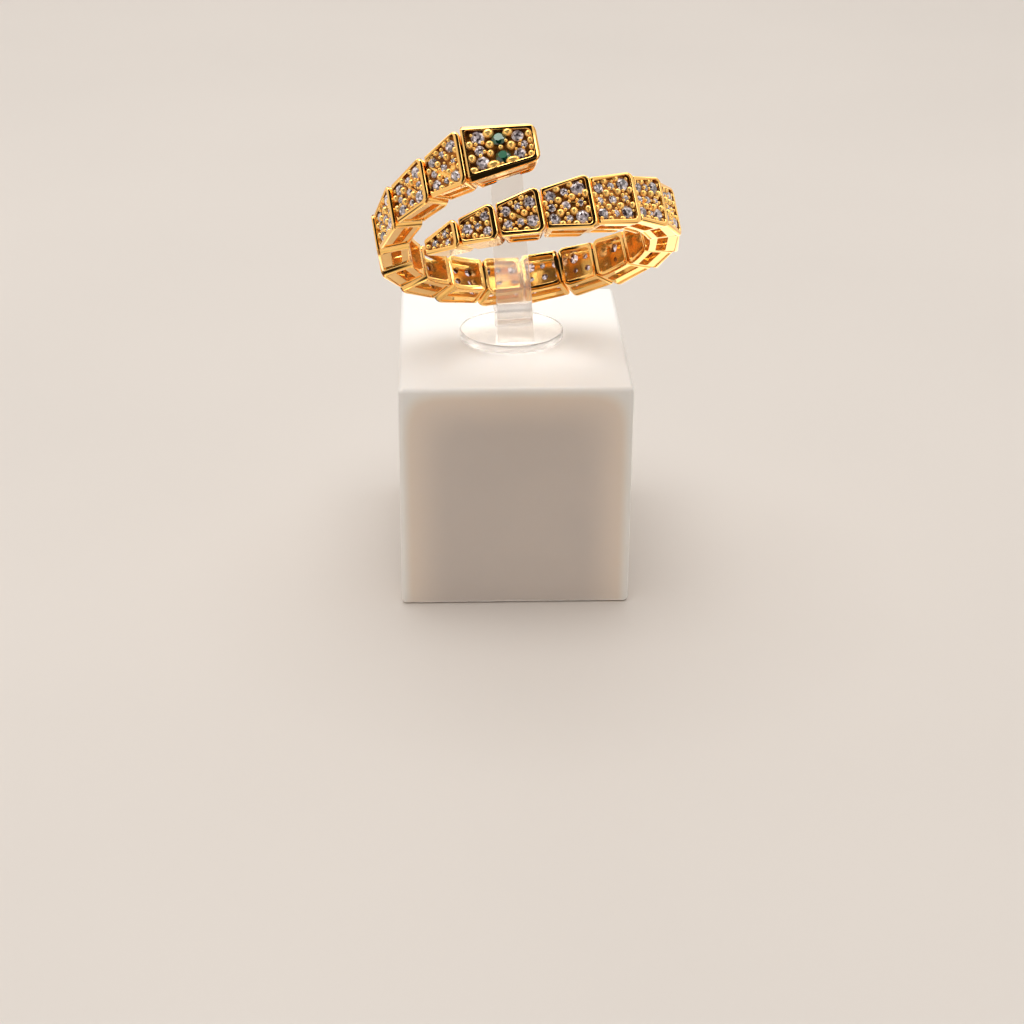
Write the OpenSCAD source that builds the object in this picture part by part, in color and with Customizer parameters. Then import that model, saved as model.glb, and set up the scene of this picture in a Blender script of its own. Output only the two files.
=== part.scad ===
// Snake ring of stepped, stone-set links that wraps once round the finger and overlaps itself.
// A clear clip grips its far side and holds it at a slant above a square block.
// Frame: +Z up, -Y towards the viewer, origin at the middle of the block's underside.

/* [Ring] */
// Outer diameter across the raised ends of the links
ring_od = 22.9; // [22:0.1:24]
// Depth of the band from its outer face to the finger
band_t = 2.55; // [2.45:0.05:2.8]
// Climb of the band along the ring's axis in one full turn
pitch = 4.83; // [4.7:0.01:6]
// Angle of the tail's tip, counted round the axis from the side that faces the viewer
tail_deg = -43; // [-45:0.1:-35]
// Slit between neighbouring links
link_gap = 0.08; // [0.06:0.01:0.12]
// How far a link's narrow end lies below the raised end of the link before it
step_down = 0.2; // [0.1:0.05:0.3]
// Width at which a link starts, as a share of the raised end before it
step_share = 0.85; // [0.84:0.01:0.94]
// How far each side of the band leans in between the outer face and the finger
side_taper = 0.3; // [0.1:0.05:0.4]

/* [Link walls] */
// Depth of the stone field below the polished rim
field_depth = 0.3; // [0.2:0.05:0.35]
// Thickness of the metal under the stone field
floor_t = 0.4; // [0.35:0.05:0.5]
// Polished margin along the two long sides of a field
side_margin = 0.28; // [0.2:0.02:0.4]
// Polished margin at the narrow end of a field
start_margin = 0.15; // [0.1:0.05:0.3]
// Polished margin at the wide, raised end of a field
end_margin = 0.5; // [0.4:0.05:0.6]
// Thickness of the side walls and of the frame round the inner window
wall_t = 0.38; // [0.3:0.02:0.5]
// Height of the inner rail that touches the finger
rail_h = 0.66; // [0.5:0.02:0.8]
// Height of the side window between the rail and the outer plate
slot_h = 0.76; // [0.5:0.02:0.8]
// Thickness of the ribs at the two ends of a link, as an angle round the ring
rib_deg = 2.1; // [1.5:0.1:3]

/* [Head] */
// Width of the head at the neck
head_w = 4.45; // [3.9:0.05:4.5]
// Width of the head at its blunt tip
head_tip_w = 2.8; // [2.4:0.1:3]
// Angle that the head takes round the ring
head_deg = 28; // [26:0.5:28.5]
// Width of the slope along the head's lower edge at the neck
low_slope_w = 0.75; // [0.6:0.05:0.9]
// Width of the slope along the head's upper edge at the neck
high_slope_w = 0.35; // [0.3:0.05:0.5]
// Width of both slopes at the head's tip
tip_slope_w = 0.25; // [0.2:0.05:0.4]
// Steepness of the slopes along the head's long edges
head_slope_deg = 38; // [30:1:45]

/* [Stones] */
// Height of a stone's girdle above the floor of its field
girdle_lift = 0.05; // [0.04:0.01:0.08]
// Depth of a stone's pointed lower part, as a share of its diameter
pavilion_share = 0.42; // [0.38:0.01:0.44]
// Height of a stone's crown, as a share of its diameter
crown_share = 0.18; // [0.14:0.01:0.2]
// Width of a stone's table, as a share of its diameter
table_share = 0.58; // [0.5:0.01:0.65]
// Diameter of each green eye stone
eye_d = 0.95; // [0.8:0.05:1]

/* [Stand] */
// Width of the block
block_w = 18; // [17:0.5:20]
// Depth of the block from front to back
block_l = 22.4; // [21:0.2:24]
// Height of the block
block_h = 18.4; // [17:0.1:20]
// Radius of the block's edges
block_edge_r = 0.4; // [0.2:0.1:0.8]
// Radius of the clip's round foot
foot_r = 4.16; // [4:0.02:4.6]
// Thickness of the clip's round foot
foot_t = 0.7; // [0.5:0.1:1]
// Width of the clip's strip where it stands on the foot
strip_w = 2.9; // [2.6:0.1:3.2]
// Width of the clip's strip at its top
strip_top_w = 2.45; // [2.2:0.05:2.8]
// Thickness of the clip's strip
strip_t = 0.9; // [0.7:0.05:1]
// Length of the strip's arm above its upper bend
strip_rise = 7.3; // [6:0.1:9]

/* [Hidden] */

ring_r = ring_od / 2;
finger_r = ring_r - band_t;

// Where the ring's centre hangs and how its axis slants
ring_at = [0.82, -8.6, 29.6];
ring_turn = [-39.3, -9.1, 2.9];

// Angle at which the band crosses its own middle height
level_deg = 162;

// One row for each link from the tail to the neck
LINK_ARC = 0;
LINK_END_W = 1;
LINK_LIFT = 2;
LINK_SET = 3;
TIP = 0;
SMALL = 1;
MIDDLE = 2;
BODY = 3;
links = [
    // [arc in degrees, width of the raised end, shift of that end along the axis, stone pattern]
    [16.3, 2.4, 0.1, TIP],
    [15, 2.95, -0.09, SMALL],
    [17, 3.65, -0.14, MIDDLE],
    [19.5, 4.25, -0.08, BODY],
    [20, 4.1, 0.12, BODY],
    [18, 4.05, 0.22, BODY],
    [18, 4, 0.25, BODY],
    [22.5, 3.8, 0.18, BODY],
    [20, 3.7, 0.1, BODY],
    [21.5, 3.9, 0.14, BODY],
    [19.5, 3.9, 0.18, BODY],
    [19.5, 3.7, 0.05, BODY],
    [19.5, 3.6, -0.05, BODY],
    [20, 3.5, -0.1, BODY],
    [20.5, 3.7, -0.1, BODY],
    [19, 3.7, -0.1, BODY],
    [19.5, 3.45, -0.1, BODY],
    [21.5, 3.55, 0, BODY],
    [20, 3.7, 0.2, BODY],
    [16.5, 4.4, 0.56, BODY]
];
tip_w = 1.2;
tip_lift = 0.25;
head_lift = 0;
closed_links = 2;

// Stones of each pattern: place along and across the field as shares of it, and diameter
U = 0;
V = 1;
D = 2;
stone_sets = [
    [
        [-0.2, 0, 0.5],
        [0.2, 0.25, 0.5],
        [0.24, -0.27, 0.46]
    ],
    [
        [-0.3, 0.02, 0.74],
        [0.05, 0.02, 0.48],
        [0.32, 0.29, 0.62],
        [0.33, -0.27, 0.6]
    ],
    [
        [-0.3, 0.26, 0.62],
        [-0.29, -0.24, 0.6],
        [0.03, 0.27, 0.5],
        [0.04, -0.22, 0.5],
        [0.34, 0.26, 0.76],
        [0.345, -0.24, 0.8]
    ],
    [
        [-0.32, 0.33, 0.7],
        [-0.33, 0, 0.52],
        [-0.31, -0.33, 0.74],
        [0.01, 0.33, 0.5],
        [0, 0, 0.56],
        [0.02, -0.33, 0.48],
        [0.32, 0.325, 0.86],
        [0.33, 0, 0.46],
        [0.32, -0.325, 0.84]
    ]
];
head_stones = [
    [-0.31, 0.33, 0.86],
    [-0.32, 0.01, 0.64],
    [-0.305, -0.305, 0.84],
    [0.29, 0.31, 0.74],
    [0.365, 0, 0.45],
    [0.28, -0.29, 0.76]
];
eye_spots = [
    [0, 0.275, eye_d],
    [0.02, -0.24, eye_d]
];

// Bead prongs of each pattern: place along and across the field as shares of it, and diameter
bead_sets = [
    [
        [-0.44, 0, 0.3],
        [-0.02, 0.38, 0.26],
        [0.02, -0.38, 0.26],
        [0.45, 0, 0.3]
    ],
    [
        [-0.08, 0.38, 0.3],
        [-0.08, -0.36, 0.3],
        [0.37, 0.01, 0.3],
        [0.14, 0.46, 0.26],
        [0.14, -0.44, 0.26],
        [-0.47, 0.26, 0.24],
        [-0.47, -0.22, 0.24]
    ],
    [
        [-0.14, 0.02, 0.36],
        [0.17, 0.02, 0.36],
        [0.47, 0.02, 0.34],
        [-0.47, 0.02, 0.26],
        [-0.14, 0.47, 0.28],
        [-0.13, -0.46, 0.28],
        [0.16, 0.47, 0.28],
        [0.16, -0.46, 0.28]
    ],
    [
        [-0.16, 0.17, 0.38],
        [-0.16, -0.17, 0.38],
        [0.15, 0.17, 0.38],
        [0.15, -0.17, 0.38],
        [-0.16, 0.465, 0.3],
        [-0.15, -0.465, 0.3],
        [0.15, 0.47, 0.3],
        [0.155, -0.47, 0.3],
        [-0.47, 0.17, 0.3],
        [-0.47, -0.17, 0.3],
        [0.47, 0.17, 0.36],
        [0.47, -0.17, 0.34]
    ]
];
head_beads = [
    [-0.455, 0.17, 0.4],
    [-0.455, -0.15, 0.4],
    [-0.46, -0.43, 0.3],
    [-0.145, 0.43, 0.46],
    [-0.15, 0.13, 0.44],
    [-0.16, -0.1, 0.36],
    [-0.14, -0.42, 0.46],
    [0.01, 0.02, 0.24],
    [0.15, 0.44, 0.44],
    [0.17, 0.03, 0.46],
    [0.155, -0.43, 0.46],
    [0.46, 0.36, 0.32],
    [0.47, 0.12, 0.3],
    [0.47, -0.14, 0.3],
    [0.45, -0.38, 0.32]
];

// How high a bead's middle stands above the floor of its field
bead_lift = 0.08;
// Radii of the rounded corners of a field, a tail tip and the head
field_corner_r = 0.35;
tip_corner_r = 0.4;
head_corner_r = 0.7;
head_start_margin = 0.3;
head_end_margin = 0.5;
head_side_margin = 0.08;
head_slot_h = 0.35;
// Gap between a stone's girdle and the smaller seat that is bored under it
seat_gap = 0.03;
seat_depth = 0.25;
drill_share = 0.6;
// Length that is longer than any cut through a link
through = 12;
// Overshoot that carries a cut clear of the face that it opens
past = 0.5;

link_count = len(links);
head_index = link_count;
gold = "goldenrod";

function arc_of(i) = i == head_index ? head_deg : links[i][LINK_ARC];
function start_of(i) = i == 0 ? tail_deg : start_of(i - 1) + arc_of(i - 1);
function middle_of(i) = start_of(i) + arc_of(i) / 2;
function end_w_of(i) = i == head_index ? head_tip_w : links[i][LINK_END_W];
function start_w_of(i) =
    i == 0 ? tip_w :
    i == head_index ? head_w :
    end_w_of(i - 1) * step_share;

// Height of the band's middle along the axis at a link's two ends
function even_climb(deg) = pitch * (deg - level_deg) / 360;
function lift_of(i) = i < 0 ? tip_lift : i == head_index ? head_lift : links[i][LINK_LIFT];
function start_z(i) = even_climb(start_of(i)) + lift_of(i - 1);
function end_z(i) = even_climb(start_of(i) + arc_of(i)) + lift_of(i);
function half_deg_of(i) = arc_of(i) / 2 - asin(link_gap / 2 / ring_r);

// Outer radii at a link's narrow end and at its raised end
function start_r_of(i) = ring_r - (i == head_index ? 0 : step_down);

// Corner points of a link's outer plate along the band and the axis, set in by margins:
// side0 and side1 at the sides of the narrow and the wide end, start and end at those ends
function plate_x(i) = ring_r * sin(arc_of(i) / 2);
function corners(i, side0 = 0, side1 = 0, start = 0, end = 0) =
    let (
        x = plate_x(i),
        rise = end_z(i) - start_z(i),
        w0 = start_w_of(i) / 2 - side0,
        w1 = end_w_of(i) / 2 - side1
    )
    [
        [-x + start, -rise / 2 - w0],
        [x - end, rise / 2 - w1],
        [x - end, rise / 2 + w1],
        [-x + start, -rise / 2 + w0]
    ];

// A four-cornered outline with its corners rounded by short curves
function curve(a, b, c, s) = (1 - s) * (1 - s) * a + 2 * s * (1 - s) * b + s * s * c;
function toward(a, b, r) = a + (b - a) * min(0.45, r / norm(b - a));
function rounded(points, radii, steps = 5) = [
    for (k = [0:3])
        let (
            p = points[k],
            a = toward(p, points[(k + 3) % 4], radii[k]),
            b = toward(p, points[(k + 1) % 4], radii[k])
        )
        each [for (s = [0:steps]) curve(a, p, b, s / steps)]
];

// The head's stone field, which lies between its two slopes
function head_field() =
    let (
        m = head_side_margin,
        tip = tip_slope_w + m,
        low = corners(head_index, low_slope_w + m, tip, head_start_margin, head_end_margin),
        high = corners(head_index, high_slope_w + m, tip, head_start_margin, head_end_margin)
    )
    [low[0], low[1], high[2], high[3]];

// The stone field of a link and a spot inside it
function field(i) =
    i == head_index
        ? head_field()
        : corners(i, side_margin, side_margin, start_margin, end_margin);
function spot(i, u, v) =
    let (
        f = field(i),
        low = f[0] + (f[1] - f[0]) * (u + 0.5),
        high = f[3] + (f[2] - f[3]) * (u + 0.5)
    )
    low + (high - low) * (v + 0.5);
// Stones and beads shrink a little on the narrower and the shorter links
full_field_w = 2.94;
full_field_l = 3;
function fit(i) =
    i == head_index || links[i][LINK_SET] != BODY ? 1 :
    let (f = field(i))
    min(1, (f[2].y - f[1].y) / full_field_w, (f[1].x - f[0].x) / full_field_l);
function stones_of(i) = i == head_index ? head_stones : stone_sets[links[i][LINK_SET]];
function beads_of(i) = i == head_index ? head_beads : bead_sets[links[i][LINK_SET]];

// Height of a link's outer plate above the axis, and the small slope up to its raised end
function plate_h(i) = (start_r_of(i) + ring_r) / 2 * cos(arc_of(i) / 2);
function plate_slope(i) = atan((ring_r - start_r_of(i)) * cos(arc_of(i) / 2) / (2 * plate_x(i)));

// Places its children in the ring: x along the band, y along the axis, z away from the finger
module on_ring(i) {
    translate(ring_at)
        rotate(ring_turn)
            translate([0, 0, (start_z(i) + end_z(i)) / 2])
                rotate([0, 0, middle_of(i)])
                    rotate([90, 0, 0])
                        children();
}

// Places its children on a link's outer plate, with z = 0 at the plate's outer face
module on_plate(i) {
    translate([0, 0, plate_h(i)])
        rotate([0, -plate_slope(i), 0])
            children();
}

// Extrudes an outline that is drawn along the band and outwards right across the band
module across(length) {
    rotate([90, 0, 0])
        linear_extrude(height = length, center = true)
            children();
}

// A wedge of the band between two planes through the axis, under a plate from r0 to r1
module wedge(half_deg, r0, r1, outline) {
    intersection() {
        across(through)
            polygon([
                [0, 0],
                [r1 * sin(half_deg), r1 * cos(half_deg)],
                [-r0 * sin(half_deg), r0 * cos(half_deg)]
            ]);
        linear_extrude(height = ring_r + past)
            polygon(outline);
    }
}

// Cuts an outline along a line that runs beside one long edge of a link's plate, set in from
// it by in0 and in1 at the two ends; the outline's y runs outwards from the plate
module edge_cut(i, side, in0, in1, outline) {
    c = corners(i, in0, in1);
    a = side > 0 ? c[3] : c[0];
    b = side > 0 ? c[2] : c[1];
    on_plate(i)
        translate([each (a + b) / 2, 0])
            rotate([0, 0, atan2(b.y - a.y, b.x - a.x)])
                rotate([90, 0, 90])
                    linear_extrude(height = through, center = true)
                        polygon([for (p = outline) [side * p.x, p.y]]);
}

// The lean of both sides of a link, narrower towards the finger
module side_leans(i) {
    deep = band_t + past;
    lean_in = side_taper * deep / band_t;
    for (side = [-1, 1])
        edge_cut(i, side, 0, 0, [
            [0, 0],
            [-lean_in, -deep],
            [2 * past, -deep],
            [2 * past, past],
            [side_taper * past / band_t, past]
        ]);
}

// The slopes along both long edges of the head
module head_slopes() {
    for (side = [-1, 1])
        edge_cut(head_index, side, side > 0 ? high_slope_w : low_slope_w, tip_slope_w, [
            [0, 0],
            [2 * past, -2 * past * tan(head_slope_deg)],
            [2 * past, past],
            [0, past]
        ]);
}

// The hole for the finger
module finger_bore() {
    rotate([90, 0, 0])
        cylinder(r = finger_r, h = through, center = true, $fn = 180);
}

// The hollow behind a link's plate, open to the finger
module inner_window(i) {
    back = field_depth + floor_t;
    wedge(
        half_deg_of(i) - rib_deg,
        start_r_of(i) - back,
        ring_r - back,
        corners(i, wall_t + side_taper, wall_t + side_taper)
    );
}

// The pierced windows in both sides of a link
module side_windows(i, height) {
    low = finger_r + rail_h;
    half = half_deg_of(i) - rib_deg - 0.3;
    across(through)
        polygon([
            [-low * sin(half), low * cos(half)],
            [low * sin(half), low * cos(half)],
            [(low + height) * sin(half), (low + height) * cos(half)],
            [-(low + height) * sin(half), (low + height) * cos(half)]
        ]);
}

// The sunk field for the stones
module sunk_field(i) {
    r = field_corner_r;
    on_plate(i)
        translate([0, 0, -field_depth])
            linear_extrude(height = field_depth + past)
                polygon(rounded(field(i), [r, r, r, r]));
}

// Seats under the stones, each drilled on through the plate
module stone_seats(i, spots) {
    on_plate(i)
        for (s = spots)
            translate([each spot(i, s[U], s[V]), -field_depth]) {
                seat_r = s[D] * fit(i) / 2 - seat_gap;
                translate([0, 0, -seat_depth])
                    cylinder(r = seat_r, h = seat_depth + past / 2, $fn = 24);
                translate([0, 0, -floor_t - past / 2])
                    cylinder(r = seat_r * drill_share, h = floor_t + past / 2, $fn = 24);
            }
}

// Bead prongs raised between the stones
module beads(i) {
    on_plate(i)
        for (b = beads_of(i))
            translate([each spot(i, b[U], b[V]), -field_depth + bead_lift])
                sphere(d = b[D] * fit(i), $fn = 20);
}

// One hollow link of the body, pierced at both sides and open to the finger
module body_link(i) {
    outline = i == 0
        ? rounded(corners(i), [tip_corner_r, 0, 0, tip_corner_r])
        : corners(i, 0, 0, -past, -past);
    color(gold)
        on_ring(i)
            union() {
                difference() {
                    wedge(half_deg_of(i), start_r_of(i), ring_r, outline);
                    side_leans(i);
                    finger_bore();
                    if (i >= closed_links) {
                        inner_window(i);
                        side_windows(i, slot_h);
                    }
                    sunk_field(i);
                    stone_seats(i, stones_of(i));
                }
                beads(i);
            }
}

// The head: a long link with a blunt tip, sloped long edges and a slit in each side
module head() {
    i = head_index;
    r = head_corner_r;
    color(gold)
        on_ring(i)
            union() {
                difference() {
                    wedge(
                        half_deg_of(i),
                        ring_r,
                        ring_r,
                        rounded(corners(i), [0, r, r, 0])
                    );
                    side_leans(i);
                    head_slopes();
                    finger_bore();
                    inner_window(i);
                    side_windows(i, head_slot_h);
                    sunk_field(i);
                    stone_seats(i, concat(head_stones, eye_spots));
                }
                beads(i);
            }
}

// A round stone with a table, sloped crown and pointed pavilion, its girdle at z = 0
module cut_stone(d, sides) {
    rotate_extrude($fn = sides)
        polygon([
            [0, -pavilion_share * d],
            [d / 2, 0],
            [table_share * d / 2, crown_share * d],
            [0, crown_share * d]
        ]);
}

// Sets a stone at a spot of a link's field
module set_stone(i, s, sides) {
    on_ring(i)
        on_plate(i)
            translate([each spot(i, s[U], s[V]), girdle_lift - field_depth])
                cut_stone(s[D] * fit(i), sides);
}

// The upper green eye
module eye_upper() {
    color("seagreen")
        set_stone(head_index, eye_spots[0], 12);
}

// The lower green eye
module eye_lower() {
    color("seagreen")
        set_stone(head_index, eye_spots[1], 12);
}

// All the small clear stones of the links and the head
module clear_stones() {
    color("lavender")
        for (i = [0:head_index], s = stones_of(i))
            set_stone(i, s, 8);
}

// The clip's strip in side view: a foot, a jaw that slants with the band, and a long arm
foot_top = block_h + foot_t;
strip_at = [0.25, -3.3];
strip_turn = [0, -3, 2.8];
strip_slant = 38.8;
// Heights of the foot's bend and of the jaw's floor above the round foot
bend_h = 4.68;
jaw_h = 3.2;
jaw_front_l = 2.5;
jaw_floor_l = 3;
jaw_rear_l = 3.6;
up_slant = [sin(strip_slant), cos(strip_slant)];
down_slant = [cos(strip_slant), -sin(strip_slant)];

// Front corner of a bend in the strip whose rear corner is p
function front_of(p) = p + [-strip_t, strip_t * tan(strip_slant / 2)];

module strip_profile() {
    t = strip_t;
    foot_rear = t / 2;
    low_bend = [foot_rear, bend_h];
    high_bend = low_bend + jaw_front_l * up_slant;
    crotch = [foot_rear, jaw_h];
    corner = crotch + jaw_floor_l * down_slant;
    polygon([
        [-t / 2, 0],
        [foot_rear, 0],
        crotch - [0, t / cos(strip_slant)],
        corner - t * up_slant + t * 0.3 * down_slant,
        corner - t * 0.7 * up_slant + t * 0.8 * down_slant,
        corner - t * 0.2 * up_slant + t * down_slant,
        corner + jaw_rear_l * up_slant + t * down_slant,
        corner + jaw_rear_l * up_slant,
        corner,
        crotch,
        low_bend,
        high_bend,
        high_bend + [0, strip_rise],
        front_of(high_bend) + [0, strip_rise],
        front_of(high_bend),
        front_of(low_bend)
    ]);
}

// The clear strip that stands on the foot, grips the band and rises inside the ring
module clip_strip() {
    top = bend_h + jaw_front_l * up_slant.y + strip_rise;
    w0 = strip_w / 2;
    w1 = strip_top_w / 2;
    color("whitesmoke", 0.5)
        intersection() {
            translate([each strip_at, foot_top])
                rotate(strip_turn)
                    intersection() {
                        rotate([90, 0, 90])
                            linear_extrude(height = through, center = true)
                                strip_profile();
                        rotate([90, 0, 0])
                            linear_extrude(height = 2 * through, center = true)
                                polygon(rounded(
                                    [[-w0, -past], [w0, -past], [w1, top], [-w1, top]],
                                    [0, 0, w1 * 0.8, w1 * 0.8]
                                ));
                    }
            translate([-through, -through, foot_top])
                cube([2 * through, 2 * through, 2 * through]);
        }
}

// The clip's clear round foot, which lies on the block
module clip_base() {
    color("whitesmoke", 0.5)
        translate([0, 0, block_h])
            cylinder(r = foot_r, h = foot_t, $fn = 96);
}

// A face outline of the block with its four corners rounded
module block_face(w, h) {
    r = block_edge_r;
    polygon(rounded(
        [[-w / 2, -h / 2], [w / 2, -h / 2], [w / 2, h / 2], [-w / 2, h / 2]],
        [r, r, r, r]
    ));
}

// The white block, rounded along all its edges
module block() {
    color("white")
        translate([0, 0, block_h / 2])
            intersection() {
                linear_extrude(height = block_h, center = true)
                    block_face(block_w, block_l);
                rotate([90, 0, 0])
                    linear_extrude(height = block_l, center = true)
                        block_face(block_w, block_h);
                rotate([90, 0, 90])
                    linear_extrude(height = block_w, center = true)
                        block_face(block_l, block_h);
            }
}

body_link(0);  // link_01
body_link(1);  // link_02
body_link(2);  // link_03
body_link(3);  // link_04
body_link(4);  // link_05
body_link(5);  // link_06
body_link(6);  // link_07
body_link(7);  // link_08
body_link(8);  // link_09
body_link(9);  // link_10
body_link(10);  // link_11
body_link(11);  // link_12
body_link(12);  // link_13
body_link(13);  // link_14
body_link(14);  // link_15
body_link(15);  // link_16
body_link(16);  // link_17
body_link(17);  // link_18
body_link(18);  // link_19
body_link(19);  // link_20
head();
eye_upper();
eye_lower();
clear_stones();
clip_strip();
clip_base();
block();
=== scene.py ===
"""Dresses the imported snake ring, its clear clip and its white display block.

The band's plan repeats the part's own sizes, so each dressed link lies where its solid does.
Sizes are in millimetres and degrees until a mesh is finished, and finished meshes are in metres.
"""

import logging
import math
import random
from dataclasses import dataclass, field
from enum import Enum
from typing import Iterable, Sequence

import bmesh
import bpy
from mathutils import Euler, Matrix, Vector
from mathutils.bvhtree import BVHTree


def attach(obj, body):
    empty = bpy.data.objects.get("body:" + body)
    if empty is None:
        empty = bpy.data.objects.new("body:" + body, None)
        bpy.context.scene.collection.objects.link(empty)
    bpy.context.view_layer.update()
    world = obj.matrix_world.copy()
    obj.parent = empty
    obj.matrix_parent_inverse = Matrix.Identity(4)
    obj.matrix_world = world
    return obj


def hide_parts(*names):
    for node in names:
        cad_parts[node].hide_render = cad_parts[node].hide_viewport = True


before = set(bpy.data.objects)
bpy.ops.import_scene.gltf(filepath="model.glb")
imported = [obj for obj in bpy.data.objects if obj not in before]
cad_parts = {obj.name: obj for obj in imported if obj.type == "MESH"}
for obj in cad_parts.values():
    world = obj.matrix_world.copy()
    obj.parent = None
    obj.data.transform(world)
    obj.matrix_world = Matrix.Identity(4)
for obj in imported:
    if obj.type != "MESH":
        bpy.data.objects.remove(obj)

LOG = logging.getLogger("snake_ring")
MM = 0.001
ROOT_BODY = "root"
# Name of each stone facet's painted reflection, from dark to bright, and over 1 a painted glint.
PAINTED_FACET_LIGHT = "painted_facet_light"
SMOOTH_DEG = 38.0
Point = tuple[float, float]
Colour = tuple[float, float, float]
BMesh = bmesh.types.BMesh
BMEdge = bmesh.types.BMEdge
BMVert = bmesh.types.BMVert
Material = bpy.types.Material
Object = bpy.types.Object
Socket = bpy.types.NodeSocket


class Metal(Enum):
    """Which gold finish a face of a link wears, by its place in GOLDS.

    The field's finish is painted shade, and the hollow's and the beads' finishes are painted light.
    """

    POLISHED = 0
    LIT_HOLLOW = 1
    FIELD = 2
    GLOWING_BEAD = 3


class StonePattern(Enum):
    """How the stones of a plate are laid out."""

    TIP = "tip"
    SMALL = "small"
    MIDDLE = "middle"
    BODY = "body"
    HEAD = "head"


@dataclass(frozen=True)
class Spot:
    """A stone or a bead, placed along and across its field as shares of it."""

    u: float
    v: float
    d: float


@dataclass(frozen=True)
class LinkRow:
    """One link: its arc round the ring, the width and shift of its raised end, its stones."""

    arc: float
    end_w: float
    lift: float
    pattern: StonePattern = StonePattern.BODY


def spots(*rows: tuple[float, float, float]) -> tuple[Spot, ...]:
    """Turns rows of u, v and diameter into spots.

    Args:
        rows: One row for each stone or bead.

    Returns:
        The spots in the same order.
    """
    return tuple(Spot(*row) for row in rows)


EYE_D = 0.95
STONES = {
    StonePattern.TIP: spots((-0.2, 0, 0.5), (0.2, 0.25, 0.5), (0.24, -0.27, 0.46)),
    StonePattern.SMALL: spots(
        (-0.3, 0.02, 0.74), (0.05, 0.02, 0.48), (0.32, 0.29, 0.62), (0.33, -0.27, 0.6)
    ),
    StonePattern.MIDDLE: spots(
        (-0.3, 0.26, 0.62), (-0.29, -0.24, 0.6), (0.03, 0.27, 0.5),
        (0.04, -0.22, 0.5), (0.34, 0.26, 0.76), (0.345, -0.24, 0.8),
    ),
    StonePattern.BODY: spots(
        (-0.32, 0.33, 0.7), (-0.33, 0, 0.52), (-0.31, -0.33, 0.74),
        (0.01, 0.33, 0.5), (0, 0, 0.56), (0.02, -0.33, 0.48),
        (0.32, 0.325, 0.86), (0.33, 0, 0.46), (0.32, -0.325, 0.84),
    ),
    StonePattern.HEAD: spots(
        (-0.31, 0.33, 0.86), (-0.32, 0.01, 0.64), (-0.305, -0.305, 0.84),
        (0.29, 0.31, 0.74), (0.365, 0, 0.45), (0.28, -0.29, 0.76),
    ),
}
EYES = spots((0, 0.275, EYE_D), (0.02, -0.24, EYE_D))
BEADS = {
    StonePattern.TIP: spots(
        (-0.44, 0, 0.3), (-0.02, 0.38, 0.26), (0.02, -0.38, 0.26), (0.45, 0, 0.3)
    ),
    StonePattern.SMALL: spots(
        (-0.08, 0.38, 0.3), (-0.08, -0.36, 0.3), (0.37, 0.01, 0.3), (0.14, 0.46, 0.26),
        (0.14, -0.44, 0.26), (-0.47, 0.26, 0.24), (-0.47, -0.22, 0.24),
    ),
    StonePattern.MIDDLE: spots(
        (-0.14, 0.02, 0.36), (0.17, 0.02, 0.36), (0.47, 0.02, 0.34), (-0.47, 0.02, 0.26),
        (-0.14, 0.47, 0.28), (-0.13, -0.46, 0.28), (0.16, 0.47, 0.28), (0.16, -0.46, 0.28),
    ),
    StonePattern.BODY: spots(
        (-0.16, 0.17, 0.38), (-0.16, -0.17, 0.38), (0.15, 0.17, 0.38), (0.15, -0.17, 0.38),
        (-0.16, 0.465, 0.3), (-0.15, -0.465, 0.3), (0.15, 0.47, 0.3), (0.155, -0.47, 0.3),
        (-0.47, 0.17, 0.3), (-0.47, -0.17, 0.3), (0.47, 0.17, 0.36), (0.47, -0.17, 0.34),
    ),
    StonePattern.HEAD: spots(
        (-0.455, 0.17, 0.4), (-0.455, -0.15, 0.4), (-0.46, -0.43, 0.3), (-0.145, 0.43, 0.46),
        (-0.15, 0.13, 0.44), (-0.16, -0.1, 0.36), (-0.14, -0.42, 0.46), (0.01, 0.02, 0.24),
        (0.15, 0.44, 0.44), (0.17, 0.03, 0.46), (0.155, -0.43, 0.46), (0.46, 0.36, 0.32),
        (0.47, 0.12, 0.3), (0.47, -0.14, 0.3), (0.45, -0.38, 0.32),
    ),
}


def turn(x: float = 0.0, y: float = 0.0, z: float = 0.0) -> Matrix:
    """Makes a rotation about X, then Y, then Z.

    Args:
        x: Degrees about X.
        y: Degrees about Y.
        z: Degrees about Z.

    Returns:
        The rotation as a 4 by 4 matrix.
    """
    return Euler((math.radians(x), math.radians(y), math.radians(z)), "XYZ").to_matrix().to_4x4()


def rounded_outline(
    points: Sequence[Point], radii: Sequence[float], steps: int, longest: float = 0.45
) -> list[Point]:
    """Rounds the corners of an outline with short curves.

    Args:
        points: The corners in order.
        radii: How far from each corner its curve starts; 0 keeps the corner sharp.
        steps: Stretches in each curve.
        longest: The most of a side that one curve takes.

    Returns:
        The outline's points in order.
    """
    made: list[Point] = []
    count = len(points)
    for k, radius in enumerate(radii):
        corner = Vector(points[k])
        if radius <= 0:
            made.append((corner.x, corner.y))
            continue
        ends = []
        for other in (Vector(points[k - 1]), Vector(points[(k + 1) % count])):
            way = other - corner
            ends.append(corner + way * min(longest, radius / way.length))
        for s in range(steps + 1):
            t = s / steps
            p = (1 - t) ** 2 * ends[0] + 2 * t * (1 - t) * corner + t ** 2 * ends[1]
            made.append((p.x, p.y))
    return made


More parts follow.
